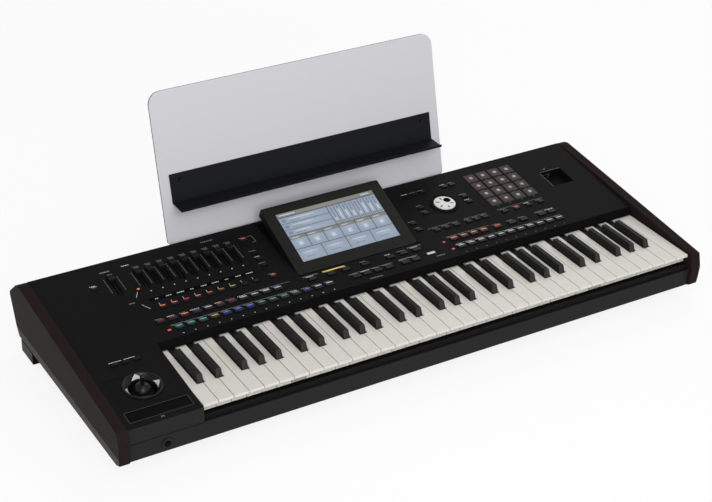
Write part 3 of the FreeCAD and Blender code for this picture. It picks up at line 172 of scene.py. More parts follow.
SWEEP_OWN_TONE = 0.86
paper = blank("Matt_white_sweep_paper")
rays = add(paper, "ShaderNodeLightPath")
seen = add(
    paper, "ShaderNodeMath",
    {0: rays.outputs["Is Camera Ray"], 1: rays.outputs["Is Glossy Ray"]}, operation="MAXIMUM",
)
seen_or_through = add(
    paper, "ShaderNodeMath",
    {0: seen.outputs[0], 1: rays.outputs["Is Transmission Ray"]}, operation="MAXIMUM",
)
own_tone = add(
    paper, "ShaderNodeMath", {0: seen_or_through.outputs[0], 1: SWEEP_OWN_TONE}, operation="MULTIPLY",
)
paper_light = add(paper, "ShaderNodeEmission", {"Strength": 1.0})
paper_matt = add(paper, "ShaderNodeBsdfDiffuse", {"Color": linear("#fafafa")})
paper_mix = add(
    paper, "ShaderNodeMixShader",
    {0: own_tone.outputs[0], 1: paper_matt.outputs[0], 2: paper_light.outputs[0]},
)
add(paper, "ShaderNodeOutputMaterial", {"Surface": paper_mix.outputs[0]})
sweep_mesh.materials.append(paper)

studio = bpy.data.worlds.new("studio")
studio.use_nodes = True
studio.node_tree.nodes.clear()
room = add(studio, "ShaderNodeBackground", {"Color": linear("#ffffff"), "Strength": 0.42})
add(studio, "ShaderNodeOutputWorld", {"Surface": room.outputs[0]})
bpy.context.scene.world = studio


def soft_box(name, place, watts, size):
    """A square lamp that faces the middle of the keyboard."""
    lamp_data = bpy.data.lights.new(name, "AREA")
    lamp_data.energy = watts
    lamp_data.size = size
    lamp = bpy.data.objects.new(name, lamp_data)
    bpy.context.scene.collection.objects.link(lamp)
    spot = Vector(place)
    aim = Vector((0, 0, 0.1)) - spot
    lamp.matrix_world = Matrix.Translation(spot) @ aim.to_track_quat("-Z", "Y").to_matrix().to_4x4()


soft_box("key_lamp", (-1.3, -3.3, 2.1), 80, 2.4)
soft_box("top_lamp", (0.2, -1.9, 3.0), 28, 3.0)
soft_box("side_lamp", (2.0, 1.7, 2.4), 22, 2.0)
print("sweep faces:", len(sweep_mesh.polygons), "lamps:", len(bpy.data.lights))

# %% [markdown]
# Much of the keyboard sits on sloping surfaces: the control panel, the left cheek, the tilted
# display and the music stand. Each gets a matrix from millimetres on that surface to metres in
# the frame: x runs along the keys, y up the slope and z out of it. The joints already know these
# directions, because a fader slides up the panel and the dial turns about a line out of it.

# %% Places on the sloping surfaces
JOINTS = {joint["name"]: joint for joint in frame["joints"]}


def surface_place(origin, up, out):
    """The matrix of a sloping surface, from its millimetres to the frame."""
    turn = Matrix((up.cross(out), up, out)).transposed().to_4x4()
    return Matrix.Translation(origin) @ turn @ Matrix.Scale(MM, 4)


def extent(node, place):
    """The lowest and highest corner of a node in a surface's own millimetres."""
    inverse = place.inverted()
    points = [inverse @ vertex.co for vertex in frame["nodes"][node].data.vertices]
    low = Vector([min(point[i] for point in points) for i in range(3)])
    high = Vector([max(point[i] for point in points) for i in range(3)])
    return low, high


DIAL_X = 567.06
DIAL_Y = 128.4
panel_up = Vector(JOINTS["volume_fader_slide"]["axis"])
panel_out = Vector(JOINTS["value_dial_turn"]["axis"])
dial_place = surface_place(Vector(JOINTS["value_dial_turn"]["pos_m"]), panel_up, panel_out)
panel = dial_place @ Matrix.Translation((-DIAL_X, -DIAL_Y, 0))

STICK_Y = 76.5
PIVOT_DEPTH = 26
cheek_up = Vector(JOINTS["joystick_left_right"]["axis"])
cheek_out = Vector(JOINTS["cheek_buttons_press"]["axis"])
stick_place = surface_place(Vector(JOINTS["joystick_left_right"]["pos_m"]), cheek_up, cheek_out)
cheek = stick_place @ Matrix.Translation((0, -STICK_Y, PIVOT_DEPTH))

display_tilt = math.radians(22)
display_up = Vector((0, math.cos(display_tilt), math.sin(display_tilt)))
display_out = Vector((0, -math.sin(display_tilt), math.cos(display_tilt)))
display = surface_place(Vector(JOINTS["display_tilt"]["pos_m"]), display_up, display_out)

stand_up = Vector(JOINTS["music_stand_lift"]["axis"])
stand_out = Vector((0, -stand_up.z, stand_up.y))
stand = surface_place(Vector((0, 0, 0)), stand_up, stand_out)
plate_low, plate_high = extent("stand_plate", stand)
stand = stand @ Matrix.Translation((0, plate_low.y, plate_high.z))
print("panel slope:", round(math.degrees(math.asin(panel_up.z)), 2), "degrees")

# %% [markdown]
# Most of the keyboard is moulded plastic or painted sheet. Such a surface is never one flat
# colour: a mould or spray gun leaves a fine grain that changes its tone and gloss a little. One
# noise texture can drive all of that, at a grain given in millimetres, so one function makes
# these finishes. A streak stretches the grain along one direction, as in brushed metal or wood.

# %% Moulded and painted finishes
def coating(name, light, dark, grain, gloss, relief, streak=(1, 1, 1), more=None):
    """A finish with two close tones, two close roughnesses and a fine relief on one grain."""
    material = blank(name)
    where = add(material, "ShaderNodeTexCoord")
    along = add(material, "ShaderNodeMapping", {"Vector": where.outputs["Object"], "Scale": streak})
    speckle = add(
        material, "ShaderNodeTexNoise",
        {"Vector": along.outputs[0], "Scale": 1 / (grain * MM), "Detail": 3.0, "Roughness": 0.6},
    )
    tone = add(
        material, "ShaderNodeMix",
        {0: speckle.outputs[0], 6: linear(light), 7: linear(dark)}, data_type="RGBA",
    )
    roughness = add(
        material, "ShaderNodeMapRange",
        {"Value": speckle.outputs[0], "To Min": gloss[0], "To Max": gloss[1]},
    )
    dents = add(
        material, "ShaderNodeBump",
        {"Height": speckle.outputs[0], "Strength": relief, "Distance": 0.1 * grain * MM},
    )
    skin = add(
        material, "ShaderNodeBsdfPrincipled",
        {
            "Base Color": tone.outputs[2],
            "Roughness": roughness.outputs[0],
            "Normal": dents.outputs[0],
            **(more or {}),
        },
    )
    add(material, "ShaderNodeOutputMaterial", {"Surface": skin.outputs[0]})
    return material


# Dull wood, paint and plastic mirror very little, so these three levels keep the blacks black.
DULL = {"Specular IOR Level": 0.012}
MATT = {"Specular IOR Level": 0.04}
SATIN = {"Specular IOR Level": 0.1}
# Textured paint scatters the light, so the panel stays black and shows only a dull sheen.
# Its grit is about 0.3 mm, drawn at 1.2 mm to show at all.
panel_paint = coating("Textured_black_paint", "#161617", "#101011", 1.2, (0.5, 0.62), 0.35, more=MATT)
# Satin ABS from a fine spark-eroded mould: black with a soft, wide sheen.
case_abs = coating("Satin_black_ABS", "#191919", "#131314", 1.5, (0.42, 0.55), 0.25, more=MATT)
# The front rail has a smoother moulding; its dark grey, lighter than the top, is painted front light.
front_lit_grey_abs = coating("Satin_dark_grey_ABS_painted_front_light", "#292929", "#232324", 2.0, (0.4, 0.5), 0.15, more=MATT)
# The fascia over the keys is smooth and darker than the paint; round the dial the same finish is
# painted shade.
smooth_black_and_dial_shade = coating("Smooth_black_ABS_and_painted_dial_shade", "#111112", "#0d0d0e", 5.0, (0.3, 0.4), 0.03, more=DULL)
# The end panels are wood, stained dark brown where the edge grain shows at the top and the nose.
end_stain = coating(
    "Dark_brown_stained_wood", "#2a2120", "#201918", 5.0, (0.42, 0.55), 0.2, (1, 0.06, 1), DULL,
)
# Their outer faces carry a grey-brown laminate with a faint grain from front to back.
end_laminate = coating(
    "Grey_brown_laminate", "#2c2a26", "#25231f", 6.0, (0.42, 0.55), 0.1, (1, 0.06, 1), DULL,
)
# Along the foot of each end panel runs a chamfer that leans down to the floor; its paler grey is
# painted light from the white floor.
floor_lit_grey = coating("Pale_chamfer_painted_floor_light", "#5c5b55", "#4e4d48", 4.0, (0.5, 0.6), 0.2, (1, 0.1, 1), DULL)
# White keys are polished acrylic over ABS: warm, even and softly glossy.
key_acrylic = coating(
    "Polished_white_acrylic", "#dad7d0", "#d1cec7", 9.0, (0.25, 0.34), 0.02,
    more={"Specular IOR Level": 0.2, "Subsurface Weight": 0.05, "Subsurface Scale": 0.002},
)
# Black keys have a matt, slightly open grain that players feel under the finger.
key_black = coating("Matt_black_key_ABS", "#212120", "#191918", 1.0, (0.42, 0.56), 0.3, more=SATIN)
# The front slope of a black key gets a greyer, smoother finish, whose grey is painted light on faces
# that look forwards.
key_front_lit = coating("Black_key_ABS_painted_front_light", "#3a3938", "#31302f", 3.0, (0.3, 0.4), 0.05, more=SATIN)
# Gloss black mouldings round the joystick mirror the lamps.
gloss_black = coating(
    "Gloss_black_ABS", "#131314", "#0e0e0f", 6.0, (0.28, 0.36), 0.02, more={"Specular IOR Level": 0.25},
)
# The frame of the display is smooth dark grey and reflects the room a little.
bezel_grey = coating("Smooth_dark_grey_ABS", "#1c1d1b", "#181917", 8.0, (0.3, 0.36), 0.02, more=SATIN)
# Rubber swallows light and has no clear reflection.
rubber = coating("Black_moulded_rubber", "#161616", "#0f0f0f", 0.8, (0.7, 0.85), 0.3, more=MATT)
# The stand is sheet with a pale grey powder coat, which looks like very fine orange peel.
stand_coat = coating("Pale_grey_powder_coat", "#cfced2", "#c4c3c8", 1.4, (0.42, 0.55), 0.15, more=SATIN)
stand_black = coating(
    "Satin_black_powder_coat", "#18191b", "#111214", 1.4, (0.38, 0.5), 0.2, more=SATIN,
)
# Metal parts: bright zinc on screws and pins, nickel on the sockets, plain sheet round the supply.
METAL = {"Metallic": 1.0}
zinc = coating("Bright_zinc_plate", "#b9babc", "#a2a4a8", 1.5, (0.28, 0.4), 0.1, more=METAL)
nickel = coating("Nickel_plate", "#c4c0b8", "#b4b0a8", 2.0, (0.18, 0.28), 0.05, more=METAL)
sheet_metal = coating(
    "Plain_steel_sheet", "#b0b2b4", "#9c9ea2", 3.0, (0.35, 0.5), 0.1, (1, 0.1, 1), METAL,
)
# Circuit boards: solder mask over copper, with a mottle of tracks.
solder_mask = coating("Green_solder_mask", "#1f6a3c", "#154a2a", 2.5, (0.3, 0.4), 0.2)
print("finishes so far:", len(bpy.data.materials))

# %% [markdown]
# The solids have knife-sharp edges, and real mouldings never do: a thin rounded edge catches a
# line of light. A copy of a solid can be bevelled instead of drawing it again. The copy's loose
# triangles are merged, flat faces are dissolved into one, and only the edges that a rule picks
# are rounded. The copy then stands for the solid and moves with its body.

# %% Softened copies
BODIES = frame["record"]["behaviour"]["bodies"]
NODE_BODY = {node: body for body, nodes in BODIES.items() for node in nodes}
SHARP = math.radians(30)


def copied(node):
    """A bmesh copy of a solid, with its triangles merged into flat faces."""
    shape = bmesh.new()
    shape.from_mesh(frame["nodes"][node].data)
    bmesh.ops.remove_doubles(shape, verts=shape.verts, dist=0.002 * MM)
    bmesh.ops.dissolve_limit(
        shape, angle_limit=math.radians(0.5), verts=shape.verts, edges=shape.edges, delimit=set(),
    )
    return shape


def round_over(shape, width, picks=None, segments=2):
    """Rounds the sharp edges of a bmesh that a rule picks."""
    edges = [
        edge for edge in shape.edges
        if len(edge.link_faces) == 2 and edge.calc_face_angle(0) > SHARP
        and (picks is None or picks(edge))
    ]
    bmesh.ops.bevel(
        shape, geom=edges, offset=width * MM, offset_type="OFFSET", affect="EDGES",
        segments=segments, profile=0.5, material=-1, clamp_overlap=True,
    )
    return len(edges)


def piece(name, shape, body, materials):
    """An object from a bmesh, smooth up to its sharp edges, that moves with a body."""
    mesh = bpy.data.meshes.new(name)
    shape.to_mesh(mesh)
    shape.free()
    for material in materials:
        mesh.materials.append(material)
    mesh.polygons.foreach_set("use_smooth", [True] * len(mesh.polygons))
    mesh.set_sharp_from_angle(angle=SHARP)
    made = bpy.data.objects.new(name, mesh)
    bpy.context.scene.collection.objects.link(made)
    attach(made, body)
    return made


def stands_for(node, shape, materials):
    """A piece from a bmesh that is shown in place of a solid."""
    made = piece(node + "_shown", shape, NODE_BODY[node], materials)
    evened = made.modifiers.new("even_shading", "WEIGHTED_NORMAL")
    evened.keep_sharp = True
    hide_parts(node)


def softened(node, width, material, picks=None, segments=2):
    """A solid's copy with rounded edges and one finish."""
    shape = copied(node)
    count = round_over(shape, width, picks, segments)
    stands_for(node, shape, [material])
    return count


def finished(node, material):
    """Gives a solid that stays as it is its finish."""
    for holder in frame["nodes"][node].material_slots:
        holder.material = material


print("solids by body:", len(NODE_BODY))

# %% [markdown]
# A white key has a crisp but rounded top edge, and a short lip that hangs down in front. Only
# those edges show, so the rule picks edges at the level of the top, and edges in the front face.
# A black key is narrower at its crown, and everything above the white keys is rounded. Its front
# slope faces forwards, which tells where the lighter finish goes: painted front light.

# %% Keys
key_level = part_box("white_keys_c")[1].z
key_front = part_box("white_keys_c")[0].y
LIP = 4.6 * MM
HAIR = 0.1 * MM
SLOPE_LEAN = -0.3


def white_key_edge(edge):
    """Whether an edge is on the top or the front lip of a white key."""
    on_top = all(corner.co.z > key_level - HAIR for corner in edge.verts)
    in_front = all(
        corner.co.y < key_front + HAIR and corner.co.z > key_level - LIP - HAIR for corner in edge.verts
    )
    return on_top or in_front


def black_key_edge(edge):
    """Whether an edge of a black key is above the white keys."""
    return all(corner.co.z > key_level + HAIR for corner in edge.verts)


rounded = 0
for note in "cdefgab":
    rounded += softened(f"white_keys_{note}", 0.6, key_acrylic, white_key_edge)
for note in "cdfga":
    sharp_shape = copied(f"black_keys_{note}_sharp")
    rounded += round_over(sharp_shape, 0.8, black_key_edge)
    for face in sharp_shape.faces:
        # A face that looks forwards gets the lighter finish: painted front light.
        face.material_index = 1 if face.normal.y < SLOPE_LEAN else 0
    stands_for(f"black_keys_{note}_sharp", sharp_shape, [key_black, key_front_lit])
print("rounded key edges:", rounded)

# %% [markdown]
# The upper case is one big moulding full of openings. Rounding every edge of it would fight with
# them, so the rule picks only edges that run a hand's width along the keys. Its top is painted,
# while the front of the left cheek gets the rail's grey moulding, whose lighter tone is painted
# light on faces that look forwards. The fascia over the keys is smooth black, and so is the ring
# round the dial, where the darker tone is painted shade. A face's direction and place tell which is
# which.

# %% Upper case
FRONT = Vector((0, -1, 0))
HAND = 90 * MM


def long_edge(edge):
    """Whether an edge runs along the keys for a hand's width or more."""
    run = edge.verts[1].co - edge.verts[0].co
    return abs(run.x) > HAND and abs(run.x) > 0.999 * run.length


upper_shape = copied("upper_case")
long_edges = round_over(upper_shape, 0.8, long_edge)
cheek_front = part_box("upper_case")[0].y
CHEEK_REACH = 2 * MM
FACES_FRONT = 0.6
DIAL_RING = 24.2
dial_inverse = dial_place.inverted()
for face in upper_shape.faces:
    # A cheek face that looks forwards gets the rail's lighter grey: painted front light.
    if face.normal.dot(FRONT) > FACES_FRONT:
        on_cheek = face.calc_center_median().y < cheek_front + CHEEK_REACH
        face.material_index = 1 if on_cheek else 2
    # Faces round the dial get the darker finish: painted shade round the dial.
    elif all((dial_inverse @ corner.co).xy.length < DIAL_RING for corner in face.verts):
        face.material_index = 2
stands_for("upper_case", upper_shape, [panel_paint, front_lit_grey_abs, smooth_black_and_dial_shade])
print("long edges:", long_edges)

# %% [markdown]
# The end panels are thick and softly rounded, so their copies get a wide bevel. The outer face is
# laminate, its foot is a chamfer painted paler as light from the floor, and the wood shows on the
# edges. The rear feet are square blocks that stand flush with the ends, with the same painted floor
# light on their sides.

# %% End panels and feet
FACES_SIDE = 0.95
CHAMFER_LEAN = -0.03
FOOT_SIDE = (10 * MM) ** 2
for side, outwards in (("left", -1), ("right", 1)):
    end_shape = copied(f"{side}_end_panel")
    round_over(end_shape, 1.4, segments=3)
    for face in end_shape.faces:
        if face.normal.x * outwards > FACES_SIDE:
            # A side face that leans down gets the paler grey: painted light from the floor.
            face.material_index = 2 if face.normal.z < CHAMFER_LEAN else 1
    stands_for(f"{side}_end_panel", end_shape, [end_stain, end_laminate, floor_lit_grey])

feet_shape = copied("feet")
foot_edges = round_over(feet_shape, 1.2)
for face in feet_shape.faces:
    # The large side faces of the feet get the same painted floor light.
    sideways = abs(face.normal.x) > FACES_SIDE and face.calc_area() > FOOT_SIDE
    face.material_index = 1 if sideways else 0
stands_for("feet", feet_shape, [rubber, floor_lit_grey])
softened("key_slip", 0.5, case_abs)
print("rounded foot edges:", foot_edges)

# %% [markdown]
# The other solids of the case are thin sheet and small mouldings, or they are hidden inside. They
# keep their shape, and each only gets the finish of what it is made of.

# %% Finishes of the other solids
FINISHES = {
    front_lit_grey_abs: ["lower_case"],
    case_abs: ["rear_panel", "display_tub", "joystick_housing", "stand_sockets"],
    zinc: ["case_screws", "display_hinge_pins", "key_pivot_rod", "joystick_gimbal"],
    sheet_metal: ["power_supply", "fader_units", "dial_encoder"],
    solder_mask: ["main_board", "panel_boards", "key_contact_board"],
    key_black: ["key_frame"],
    gloss_black: ["mains_inlet"],
}
for material, nodes in FINISHES.items():
    for node in nodes:
        finished(node, material)
print("solids with a new finish:", sum(len(nodes) for nodes in FINISHES.values()))

# %% [markdown]
# The panel carries hundreds of printed marks and small lamps. They could be a texture, but then
# they would blur up close, so each is a flat strip of mesh that lies a hair above the surface.
# A strip is a one-face grid with its own UV square, which a lamp uses to be paler in its middle.

# %% Printed strips and lamps
INK_LIFT = 0.05


def strip(sheet, place, x, y, length, width, turn=0.0, lift=INK_LIFT, finish=0):
    """One flat strip on a surface, in its millimetres, turned by some degrees."""
    spot = Matrix.Translation((x, y, lift)) @ Matrix.Rotation(math.radians(turn), 4, "Z")
    grown = place @ spot @ Matrix.Diagonal((length, width, 1, 1))
    made = bmesh.ops.create_grid(
        sheet, x_segments=1, y_segments=1, size=0.5, matrix=grown, calc_uvs=True,
    )
    for face in {face for corner in made["verts"] for face in corner.link_faces}:
        face.material_index = finish


def line(sheet, place, start, end, width, finish=0):
    """A thin strip from one point to another."""
    across = end[0] - start[0]
    up = end[1] - start[1]
    strip(
        sheet, place, (start[0] + end[0]) / 2, (start[1] + end[1]) / 2, math.hypot(across, up), width,
        math.degrees(math.atan2(up, across)), finish=finish,
    )


def new_sheet():
    """An empty bmesh with a UV layer for strips."""
    sheet = bmesh.new()
    sheet.loops.layers.uv.new("strip")
    return sheet


# Screen-printed ink: an opaque, slightly uneven film.
ink_white = coating("White_screen_ink", "#d4d4d4", "#bcbcbc", 0.8, (0.5, 0.6), 0.0, more=MATT)
ink_grey = coating("Grey_screen_ink", "#87878a", "#6e6e70", 0.8, (0.5, 0.6), 0.0, more=MATT)
# The dark ink also paints shade into the dial's dimple and slots.
dark_ink_and_shade = coating("Dark_screen_ink_and_painted_shade", "#0a0a0c", "#070709", 2.0, (0.5, 0.6), 0.0, more=DULL)
# A dim grey film paints the highlight on the rim round the touch strip.
rim_highlight_ink = coating("Grey_painted_rim_highlight", "#4a4a4b", "#404041", 0.8, (0.5, 0.6), 0.0, more=MATT)
INKS = [ink_white, ink_grey, dark_ink_and_shade, rim_highlight_ink]
WHITE_INK, GREY_INK, DARK_INK, RIM_HIGHLIGHT = range(len(INKS))


def fade_from(material, centre=(0.5, 0.5)):
    """A value that is 1 at one point of the UV square and falls to 0 half its width away."""
    where = add(material, "ShaderNodeTexCoord")
    middle = add(
        material, "ShaderNodeMapping",
        {
            "Vector": where.outputs["UV"],
            "Location": (-2 * centre[0], -2 * centre[1], 0),
            "Scale": (2, 2, 1),
        },
    )
    fade = add(
        material, "ShaderNodeTexGradient", {"Vector": middle.outputs[0]}, gradient_type="SPHERICAL",
    )
    return fade.outputs[1]


def lit_plastic(name, base, roughness, edge, heart, centre=(0.5, 0.5)):
    """Plastic over a lamp, which shines through it most at one point of its UV square."""
    material = blank(name)
    tone = add(
        material, "ShaderNodeMix",
        {0: fade_from(material, centre), 6: linear(edge), 7: linear(heart)}, data_type="RGBA",
    )
    skin = add(
        material, "ShaderNodeBsdfPrincipled",
        {
            "Base Color": linear(base),
            "Roughness": roughness,
            "Specular IOR Level": 0.1,
            "Emission Color": tone.outputs[2],
            "Emission Strength": 1.0,
        },
    )
    add(material, "ShaderNodeOutputMaterial", {"Surface": skin.outputs[0]})
    return material


def lit_lens(name, edge, heart):
    """A clear lens over a lamp: pale in its middle, deeper in colour towards its ends."""
    return lit_plastic(name, "#0c0c0d", 0.25, edge, heart)


# Each lamp's colour at its ends, in its middle, and as a faint glow through its cap.
LAMP_TONES = {
    "red": ("#b23420", "#f0866e", "#3c0e08"),
    "orange": ("#c05a2a", "#f4b894", "#44200e"),
    "amber": ("#8c5a24", "#d09a50", "#32200c"),
    "yellow": ("#8c7c30", "#dccf80", "#2e2a10"),
    "gold": ("#d0a83c", "#f6e08c", "#3a2e10"),
    "pink": ("#b0143f", "#e8507c", "#4c0a1e"),
    "plum": ("#5c2430", "#8c4c58", "#2e0e16"),
    "dusk": ("#2a3e3e", "#48605e", "#101e1e"),
    "teal": ("#2a7c78", "#8cc8c2", "#125250"),
    "blue": ("#3044a8", "#8498e0", "#141f6c"),
    "green": ("#3c5e48", "#98b89c", "#162e1e"),
    "violet": ("#40386c", "#9c90cc", "#1e1838"),
    "white": ("#8c8e92", "#dcdcdc", "#0c0c0d"),
}
LAMP_NAMES = list(LAMP_TONES)
lenses = [lit_lens(f"Lit_{tone}_lens", *shades[:2]) for tone, shades in LAMP_TONES.items()]
print("lamp colours:", len(lenses))

# %% [markdown]
# Each button is a low cap of smoked plastic with a lamp behind its rear edge. A lit cap glows
# faintly in its lamp's colour. All caps of a section share one solid and one spring, so the copy
# is split into its separate islands, and each island looks up its colour by the row and the
# place in the row. Unlit caps keep the dark finish.

# %% Button tools
ROW_REACH = 3.0


def islands(shape):
    """The separate solids of a bmesh, each as a list of faces."""
    shape.faces.index_update()
    seen_faces = set()
    for start in shape.faces:
        if start.index in seen_faces:
            continue
        seen_faces.add(start.index)
        group = [start]
        for face in group:
            for edge in face.edges:
                for other in edge.link_faces:
                    if other.index not in seen_faces:
                        seen_faces.add(other.index)
                        group.append(other)
        yield group


def caps_of(shape, place, layer):
    """Each island's middle, size and faces on a surface. The faces get a UV square of their own."""
    inverse = place.inverted()
    for group in islands(shape):
        points = [inverse @ corner.co for face in group for corner in face.verts]
        left = min(point.x for point in points)
        front = min(point.y for point in points)
        width = max(point.x for point in points) - left
        depth = max(point.y for point in points) - front
        for face in group:
            for loop in face.loops:
                point = inverse @ loop.vert.co
                loop[layer].uv = ((point.x - left) / width, (point.y - front) / depth)
        yield left + width / 2, front + depth / 2, width, depth, group


def top_edge(place, rise):
    """A rule that picks the edges at the top of caps that stand that high on a surface."""
    inverse = place.inverted()

    def picks(edge):
        return all((inverse @ corner.co).z > rise - 0.1 for corner in edge.verts)

    return picks


# Smoked polycarbonate: nearly black, smoother than the paint round it.
cap_smoke = coating("Smoked_polycarbonate", "#141415", "#0f0f10", 3.0, (0.25, 0.33), 0.02, more=SATIN)
CAP_LAMP = (0.5, 0.55)


def glowing_cap(name, colour):
    """Smoked plastic that lets a little of a lamp's light through, most beside the lamp."""
    return lit_plastic(name, "#121213", 0.3, "#060606", colour, CAP_LAMP)


glows = [glowing_cap(f"Smoked_cap_lit_{tone}", shades[2]) for tone, shades in LAMP_TONES.items()]


def button_caps(node, place, lights):
    """Caps with rounded tops, each lit as its row says, and their lamps. Returns the caps' places."""
    shape = copied(node)
    rise = extent(node, place)[1].z
    round_over(shape, 0.5, top_edge(place, rise))
    caps = sorted(caps_of(shape, place, shape.loops.layers.uv.new("cap")), key=lambda cap: cap[0])
    lamps = new_sheet()
    for row, colours in lights.items():
        in_row = [cap for cap in caps if abs(cap[1] - row) < ROW_REACH]
        for (x, y, width, depth, group), colour in zip(in_row, colours):
            if colour is None:
                continue
            tone = LAMP_NAMES.index(colour)
            for face in group:
                face.material_index = 1 + tone
            strip(
                lamps, place, x, y + 0.2 * depth, 0.76 * width, 0.2 * depth,
                lift=rise + INK_LIFT, finish=tone,
            )
    stands_for(node, shape, [cap_smoke] + glows)
    if lights:
        piece(node + "_lamps", lamps, NODE_BODY[node], lenses)
    return [cap[:4] for cap in caps]


print("cap finishes:", len(glows) + 1)

# %% [markdown]
# Now the sections themselves. The mixer row is lit in warm colours, the style rows run from red
# through teal, blue and green, and the rows on the right are orange and white. A row is named by
# its distance up the panel in millimetres, and its colours are read from left to right.

# %% Buttons
DARK = None
MIXER_LIGHTS = {
    71: ["orange", "orange", "pink", "orange", "red", "amber", "yellow", DARK, DARK, "red"],
    150: ["orange"],
    170: ["red"],
}
RHYTHM_LIGHTS = {
    40.5: ["plum", "plum", "orange", "dusk", "white", "plum", "plum"] + 4 * ["white"],
    19: 3 * ["teal"] + ["yellow"] + 3 * ["blue"] + 4 * ["green"] + ["violet"] + 2 * ["white"],
}
SOUND_LIGHTS = {
    40.5: 7 * [DARK] + 4 * ["orange"] + ["red"],
    19: 6 * [DARK] + 11 * ["white"],
    71: 7 * [DARK] + ["red"],
}
button_places = []
for node, lights in (
    ("mixer_buttons", MIXER_LIGHTS),
    ("rhythm_buttons", RHYTHM_LIGHTS),
    ("sound_buttons", SOUND_LIGHTS),
):
    button_places += button_caps(node, panel, lights)
cheek_places = button_caps("cheek_buttons", cheek, {})
print("buttons:", len(button_places) + len(cheek_places))

# %% [markdown]
# The sixteen pads are squares of cloudy silicone over a lamp each, so they look grey with a white
# heart. The glow is painted by distance from the middle of each pad's own UV square, with a
# slightly rosy lamp under every third pad.

# %% Pads
def cloudy_pad(name, rim, heart):
    """Cloudy silicone with a lamp under its middle."""
    material = blank(name)
    glow = add(
        material, "ShaderNodeMapRange",
        {"Value": fade_from(material), "From Min": 0.55, "From Max": 1.0, "To Max": 0.85},
        interpolation_type="SMOOTHSTEP",
    )
    where = add(material, "ShaderNodeTexCoord")
    cloud = add(
        material, "ShaderNodeTexNoise",
        {"Vector": where.outputs["Object"], "Scale": 1 / (3 * MM), "Detail": 2.0},
    )
    skin = add(
        material, "ShaderNodeMix",
        {0: cloud.outputs[0], 6: linear(rim[0]), 7: linear(rim[1])}, data_type="RGBA",
    )
    light = add(
        material, "ShaderNodeMix",
        {0: glow.outputs[0], 6: linear("#0a0a0a"), 7: linear(heart)}, data_type="RGBA",
    )
    pad = add(
        material, "ShaderNodeBsdfPrincipled",
        {
            "Base Color": skin.outputs[2],
            "Roughness": 0.55,
            "Specular IOR Level": 0.1,
            "Emission Color": light.outputs[2],
            "Emission Strength": 0.8,
        },
    )
    add(material, "ShaderNodeOutputMaterial", {"Surface": pad.outputs[0]})
    return material


pad_grey = cloudy_pad("Cloudy_grey_silicone", ("#443f3e", "#3b3736"), "#d8d2d0")
pad_rose = cloudy_pad("Cloudy_rosy_silicone", ("#463d3e", "#3d3435"), "#dcb8bc")
pad_shape = copied("pads")
round_over(pad_shape, 1.0, top_edge(panel, extent("pads", panel)[1].z), 3)
pad_places = []
for count, (x, y, width, depth, group) in enumerate(
    caps_of(pad_shape, panel, pad_shape.loops.layers.uv.new("pad"))
):
    pad_places.append((x, y, width))
    for face in group:
        face.material_index = 1 if count % 3 == 0 else 0
stands_for("pads", pad_shape, [pad_grey, pad_rose])
print("pads:", len(pad_places))

# %% [markdown]
# The faders are small black caps with a finger groove. A pale line across the rear edge of each
# cap shows its setting. The line moves with the cap, so it is a strip on the fader's own body.

# %% Faders
fader_abs = coating("Satin_black_fader_ABS", "#1a1a1b", "#131314", 1.5, (0.35, 0.45), 0.15, more=SATIN)
FADERS = ["volume_fader"] + [f"mixer_fader_{count}" for count in range(1, 10)]
MARK_INSET = 1.2
MARK_WIDTH = 1.0
fader_columns = []
for node in FADERS:
    low, high = extent(node, panel)
    fader_columns.append((low.x + high.x) / 2)
    softened(node, 0.4, fader_abs, top_edge(panel, high.z - 2))
    mark = new_sheet()
    strip(
        mark, panel, fader_columns[-1], high.y - MARK_INSET, 0.8 * (high.x - low.x), MARK_WIDTH,
        lift=high.z + INK_LIFT,
    )
    piece(node + "_line", mark, NODE_BODY[node], [ink_grey])
print("faders:", len(fader_columns))

# %% [markdown]
# The value dial is turned aluminium with a finger dimple and five short slots, and the dimple and
# the slots are painted near-black as shade in these hollows. Turning leaves fine rings on the metal,
# which a ring-shaped wave draws round the dial's own middle. The groove spacing on the real part is
# about a tenth of a millimetre, drawn at 0.8 mm to show.

# %% Value dial
turned = blank("Turned_aluminium")
turned_where = add(turned, "ShaderNodeTexCoord")
dial_middle = dial_place.translation
turned_centre = add(
    turned, "ShaderNodeMapping",
    {"Vector": turned_where.outputs["Object"], "Location": [-value for value in dial_middle]},
)
# At a scale of 1, the rings of a wave texture lie tau / 20 metres apart.
RING_SPACING = 0.8
RING_SCALE = math.tau / (20 * RING_SPACING * MM)
turned_rings = add(
    turned, "ShaderNodeTexWave",
    {"Vector": turned_centre.outputs[0], "Scale": RING_SCALE, "Distortion": 0.6},
    wave_type="RINGS", rings_direction="Z",
)
turned_tone = add(
    turned, "ShaderNodeMix",
    {0: turned_rings.outputs[1], 6: linear("#cfcfcb"), 7: linear("#bdbdb8")}, data_type="RGBA",
)
turned_bump = add(
    turned, "ShaderNodeBump",
    {"Height": turned_rings.outputs[1], "Strength": 0.1, "Distance": 0.05 * MM},
)
turned_skin = add(
    turned, "ShaderNodeBsdfPrincipled",
    {
        "Base Color": turned_tone.outputs[2], "Metallic": 0.35, "Roughness": 0.4,
        "Normal": turned_bump.outputs[0],
    },
)
add(turned, "ShaderNodeOutputMaterial", {"Surface": turned_skin.outputs[0]})

dial_shape = copied("value_dial")
dial_high = extent("value_dial", dial_place)[1]
RIM_RADIUS = dial_high.x
DIMPLE_ANGLE = 34
DIMPLE_REACH = 9
DIMPLE_RADIUS = 6
dimple_spot = Vector((DIMPLE_REACH, 0)) @ Matrix.Rotation(-math.radians(DIMPLE_ANGLE), 2)
